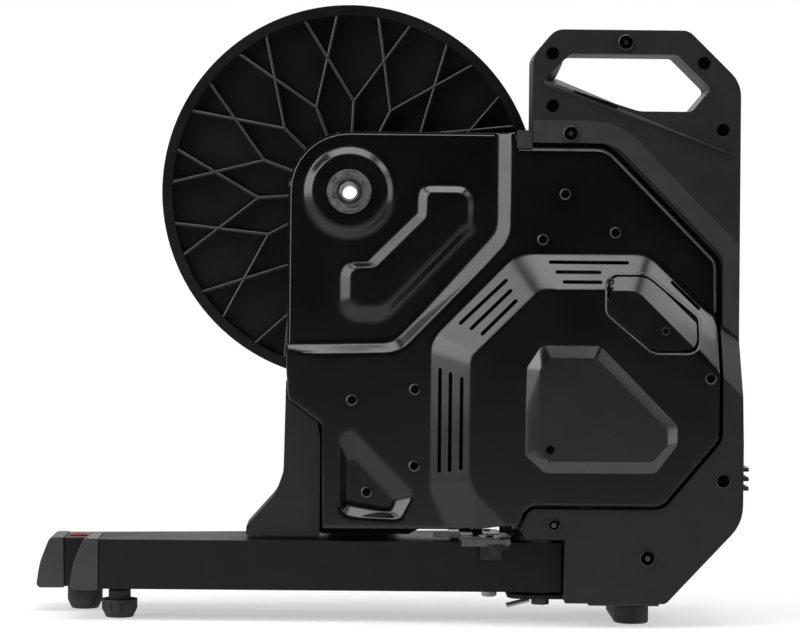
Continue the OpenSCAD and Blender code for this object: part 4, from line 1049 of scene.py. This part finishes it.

# %% [markdown]
# ## Under the cover
# Between the cover and the legs the real trainer shows only shade, and no light comes through. What
# closes it there is out of sight and unknown, so dark blinds paint that shade here: a dark tray drawn
# along X like a gutter, and three dark fins cut from flat outlines, the last of them at the hinge.
# They keep clear of the latch levers, which need room above them when they are lifted.

# %% The tray and the blinds
def beam(profile, x0, x1):
    """A closed bmesh: a profile of (y, z) places drawn along X."""
    bm = bmesh.new()
    ends = [[bm.verts.new(at(x, y, z)) for y, z in profile] for x in (x0, x1)]
    bm.faces.new(ends[0])
    bm.faces.new(ends[1][::-1])
    bridge(bm, ends[1], ends[0])
    bmesh.ops.recalc_face_normals(bm, faces=bm.faces)
    return bm


SHADE_TRAY = [
    (-40, -266), (-40, -270.6), (41, -270.6), (41, -280.3),
    (43.6, -280.3), (43.6, -268), (-37, -268), (-37, -266),
]
SHADE_BLINDS = {  # outline as (x, z) places, and the y of its two faces
    "shade_blind_lip": (
        [(-19.8, -268), (-19.8, -274.7), (50, -274.7), (58, -270.6), (98, -270.6), (112, -268)], -70.5, -40),
    "shade_blind_corner": ([(-24.2, -254), (-24.2, -275), (-18.5, -275), (-18.5, -254)], -60, -40),
    "shade_blind_hinge": ([(175.3, -282), (175.3, -326), (189, -326), (189, -282)], -18, -13),
}
# The tray and the fins are dark forms that paint the shade seen there.
show("shade_tray", beam(SHADE_TRAY, -19, 43), leg_paint, "frame")
for name, (places, y0, y1) in SHADE_BLINDS.items():
    show(name, prism([Vector(p) for p in places], y0, y1), joint_and_shade_black, "frame")
print("a tray and", len(SHADE_BLINDS), "blinds")

# %% [markdown]
# ## Inside the handle
# The lower side of the opening is a ramp that turns inward, so that the hand meets no edge, and a
# short slot is let into it. The solid's opening goes straight through. Two strips turn it into the
# ramp, and a thin black form paints the shade inside the slot.

# %% The ramp and its slot
RAMP_NEAR, RAMP_FAR, RAMP_BACK = 0.4, 35, 58
SLOT_W, SLOT_RISE = 0.9, 1.6
RAMPS = {  # inner line, outer line
    "handle_ramp": ([(153.2, 89.8), (229, 66.8)], [(167.5, 93.6), (230.5, 68)]),
    "handle_ramp_side": ([(153.2, 89.4), (170, 106)], [(166.5, 94), (172, 106)]),
}
for name, (inner, outer) in RAMPS.items():
    ramp_bm = strip(inner, outer, SHELL_Y + RAMP_NEAR, SHELL_Y + RAMP_FAR, SHELL_Y + RAMP_BACK)
    show(name, ramp_bm, shell_grey, "frame")
# A thin black form, standing a little proud, paints the shade inside the slot.
slot_shade_bm = prism(slot_outline(180, 82.2, 214, 69.6, SLOT_W), SHELL_Y - SLOT_RISE, SHELL_Y + 1)
show("handle_slot_shade", slot_shade_bm, joint_and_shade_black, "frame")
print(len(RAMPS), "ramps and a slot")

# %% [markdown]
# ## The crests of the pulley's ribs
# The pulley is cast with fifteen ribs that fork halfway out, and the fettling leaves their tops
# rounded. The solid's ribs are square. A low crest on each rib rounds them, drawn from the same
# counts and angles as the ribs, and it rides on the pulley so that it turns with it. The crests are
# a lighter grey than the rough web between them: a painted sheen on the tops of the ribs.

# %% Where the ribs run
RIBS = 15
FIRST_RIB = 90 - 2.2
HUB_AT, FORK_AT = 26, 75
FORK_TURN = 17.3
RIB_W, RIB_TOP = 2.8, -5
RIM_INSET = 8.3
CREST = [(-1, -0.05), (-0.55, -0.42), (0, -0.52), (0.55, -0.42), (1, -0.05), (0, 0.6)]
STEM_SHARE, FORK_SHARE = 0.78, 0.68

low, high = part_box("drive_pulley")
RIM_AT = (high.x - low.x) / 2 / MM - RIM_INSET
print("ribs fork at", FORK_AT, "mm and end at", round(RIM_AT, 1), "mm")

# %% Crests
def crest(bm, start, end, width):
    """Adds a low rounded bar between two places."""
    along = (Vector(end) - Vector(start)).normalized() * width / 2
    side = Vector((-along.y, along.x))
    one, two = [
        [bm.verts.new(at(c[0] + side.x * k, RIB_TOP + y, c[1] + side.y * k)) for k, y in CREST]
        for c in (start, end)
    ]
    bridge(bm, one, two)
    bm.faces.new(one[::-1])
    bm.faces.new(two)


def around(radius, degrees):
    """A place at a radius and an angle from the axle."""
    return radius * math.cos(math.radians(degrees)), radius * math.sin(math.radians(degrees))


crest_bm = bmesh.new()
for i in range(RIBS):
    turn = FIRST_RIB + i * 360 / RIBS
    crest(crest_bm, around(HUB_AT, turn), around(FORK_AT, turn), RIB_W * STEM_SHARE)
    for way in (-1, 1):
        crest(crest_bm, around(FORK_AT, turn), around(RIM_AT, turn + way * FORK_TURN), RIB_W * FORK_SHARE)
bmesh.ops.recalc_face_normals(crest_bm, faces=crest_bm.faces)
print(RIBS * 3, "crests,", len(crest_bm.faces), "faces")
# Lighter than the pulley's black: a painted sheen on the crests.
crest_sheen_grey = moulded("crest_sheen_grey", (0.016, 0.016, 0.0165), 0.42, 0.9, 0.01, 0.5)
show("pulley_crests", crest_bm, crest_sheen_grey, "pulley")

# %% [markdown]
# ## Rings, sockets and heads of the screws
# Each screw of the cover sits in a small turned boss, and from the side only three things of it
# show: the bright ring of the boss, the dark socket, and in the larger ones the head deep inside.
# The socket is a black disc that paints the shade inside the hole. One function adds these three,
# and one mesh holds all the rings, another all the sockets, since they share a finish and never
# move apart.

# %% One screw
HEAD_LIFT, HEAD_DEPTH, HEAD_SIDES = 1.3, 1.2, 6
rings_bm, socket_shade_bm, heads_bm = bmesh.new(), bmesh.new(), bmesh.new()


def screw(x, z, top, profile, lift, socket_r, depth, head_r=0):
    """Adds a ring whose profile is (radius, y from top), its socket as a black disc of painted shade, and its
    head if it has one.
    """
    turned_ring(rings_bm, x, z, [(r, top + y) for r, y in profile])
    plug(socket_shade_bm, x, z, top - lift, socket_r, depth)
    if head_r:
        plug(heads_bm, x, z, top - HEAD_LIFT, head_r, HEAD_DEPTH, HEAD_SIDES)


print("screws have heads of", HEAD_SIDES, "sides")

# %% Screws of the cover and the frame
HEAD_Y = -2.1
LOW_SHELL_Y = -92
FLUSH, PROUD = 0.02, 1.0
SCREW_FACES = [COVER_Y] * 3 + [BULGE_Y] + [COVER_Y] * 3 + [RECESS_Y]
COVER_RING = [(3.0, 0.7), (3.6, -0.5), (4.4, -0.1), (4.9, 1.4), (3.0, 1.4)]
SHELL_RING = [(5.0, 1.2), (5.6, -1.6), (6.2, -1.3), (6.6, 1.2)]
HOLE_RING = [(4.9, 0.9), (5.1, -0.15), (5.6, -0.1), (5.9, 0.9)]
UPPER_SCREWS = [(177, 48, SHELL_Y - 2.5), (220.5, 121.5, SHELL_Y - 0.9)]
LOWER_SCREWS = [(165.5, -264.5, 4.6), (240.5, -290.5, 6.0)]
# Holes in the shell are black discs set behind a ring: painted shade inside each hole.
SHADE_HOLES = [
    (162, 112, SHELL_Y), (283.5, 105.5, SHELL_Y), (162.5, 70, SHELL_Y), (299.5, 52, SHELL_Y),
    (300.5, -228.5, LOW_SHELL_Y),
]
for (x, z), face_y in zip(COVER_SCREWS, SCREW_FACES):
    screw(x, z, face_y + HEAD_Y, COVER_RING, FLUSH, 3.1, 0.6)
for x, z, top in UPPER_SCREWS:
    screw(x, z, top, SHELL_RING, PROUD, 5.2, 1.6, 2.0)
for x, z, r in LOWER_SCREWS:
    profile = [(r - 0.8, 1.2), (r - 0.4, -1.3), (r, -1.1), (r + 0.3, 1.2)]
    screw(x, z, LOW_SHELL_Y - 0.9, profile, PROUD, r - 0.6, 1.6, 2.2)
for x, z, face_y in SHADE_HOLES:
    screw(x, z, face_y, HOLE_RING, -1.2, 4.95, 1)
print(len(COVER_SCREWS), "cover screws,", len(SHADE_HOLES), "dark holes")

# %% Screws of the centre cap and the door
SMALL_SCREWS = {"centre_cap_screw": 3.9, "access_door_screw": 3.0}
for node, r in SMALL_SCREWS.items():
    low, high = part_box(node)
    middle = (low + high) / 2 - AXLE
    top = (low - AXLE).y / MM + HUB_MID_Y
    profile = [(r - 0.9, 0.6), (r - 0.5, -0.3), (r, -0.1), (r + 0.3, 1.2)]
    screw(middle.x / MM, middle.z / MM, top, profile, FLUSH, r - 0.7, 0.6)
ring_grey = plated("ring_grey", (0.10, 0.10, 0.105), 0.34)
show("screw_rings", rings_bm, ring_grey, "frame")
# The sockets are black discs of painted shade.
show("screw_socket_shade", socket_shade_bm, joint_and_shade_black, "frame")
show("screw_heads", heads_bm, ring_grey, "frame")
print(len(SMALL_SCREWS), "small screws, placed by their own solids")

# %% [markdown]
# ## The rim of the door
# The service door lies across a bend of the bulge, so its rim can't be a flat strip. A ray sent at
# the cover from the viewer's side tells how far out the skin stands at any place, and the rim is
# draped over it place by place, with a low ridge along its middle.

# %% The rim, draped on the cover
RAY_FROM, RAY_REACH = BULGE_Y - 20, 0.06
RIM_IN, RIM_OUT, RIM_LIFT = 0.9, 2.3, 0.7
RIM_EDGE, RIM_BACK = 0.1, 0.8
TOWARDS_BACK = Vector((0, 1, 0))
over_cover = BVHTree.FromObject(cover, bpy.context.evaluated_depsgraph_get())


def cover_face(x, z):
    """How far towards the viewer the cover's skin stands at a place, as Y in millimetres."""
    hit = over_cover.ray_cast(at(x, RAY_FROM, z), TOWARDS_BACK, RAY_REACH)[0]
    return (hit - AXLE).y / MM + HUB_MID_Y if hit else BULGE_Y


def draped(line, inset, outset, lift):
    """A thin closed strip that follows a line over the cover's forms."""
    bm = bmesh.new()
    ring = line + [line[0]]
    rows = []
    for a, b in zip(offset_line(ring, inset)[:-1], offset_line(ring, outset)[:-1]):
        y = cover_face(*b)
        crown = (Vector(a) + Vector(b)) / 2
        profile = (
            (a, y - RIM_EDGE), (crown, y - lift), (b, y - RIM_EDGE), (b, y + RIM_BACK), (a, y + RIM_BACK),
        )
        rows.append([bm.verts.new(at(p[0], py, p[1])) for p, py in profile])
    for one, two in zip(rows, rows[1:] + rows[:1]):
        bridge(bm, one, two)
    bmesh.ops.recalc_face_normals(bm, faces=bm.faces)
    return bm


def fine(places, step=2.5):
    """The closed line with extra places on its long straights."""
    out = []
    for i, a in enumerate(places):
        b = places[(i + 1) % len(places)]
        parts = max(1, math.ceil((b - a).length / step))
        out += [tuple(a + (b - a) * k / parts) for k in range(parts)]
    return out


door_line = fine(outline(DOOR))
# The rim is in the lighter black of the painted highlight.
show("door_rim", draped(door_line, RIM_IN, RIM_OUT, RIM_LIFT), painted_highlight_black, "frame")
print("door rim of", len(door_line), "places")

# %% [markdown]
# ## The catch of the door and the end of the latch bolt
# Two small turned parts close the list. The catch is a knob on the door's upper corner. The bolt
# that the near latch works ends under the leg in a bright cap with a turned edge, and it rides on
# the leg, because it swings out with it.

# %% The catch
CATCH = [(1.2, -93.6), (1.8, -95.2), (2.8, -95.4), (3.2, -93.2)]
knob_bm = bmesh.new()
turned_ring(knob_bm, 208.4, -70, CATCH)
# The catch is in the same lighter black, a painted highlight.
show("door_catch", knob_bm, painted_highlight_black, "frame")
print("catch", 2 * CATCH[-1][0], "mm across")

# %% The end of the latch bolt
BOLT_AT = (116.5, -44)
BOLT_LOW, BOLT_HIGH, BOLT_R = -327.2, -321.3, 6.2
BOLT_SIDES = 8
TURNED = 0.8

bolt_bm = bmesh.new()
levels = ((BOLT_HIGH, BOLT_R), (BOLT_LOW + TURNED, BOLT_R), (BOLT_LOW, BOLT_R - TURNED))
turns = [math.tau * i / BOLT_SIDES for i in range(BOLT_SIDES)]
rows = [
    [bolt_bm.verts.new(at(BOLT_AT[0] + r * math.cos(a), BOLT_AT[1] + r * math.sin(a), z)) for a in turns]
    for z, r in levels
]
for one, two in zip(rows, rows[1:]):
    bridge(bolt_bm, one, two)
bolt_bm.faces.new(rows[0][::-1])
bolt_bm.faces.new(rows[-1])
bmesh.ops.recalc_face_normals(bolt_bm, faces=bolt_bm.faces)
show("latch_bolt_cap", bolt_bm, nut_zinc, "near_leg")
print("bolt end", 2 * BOLT_R, "mm across")
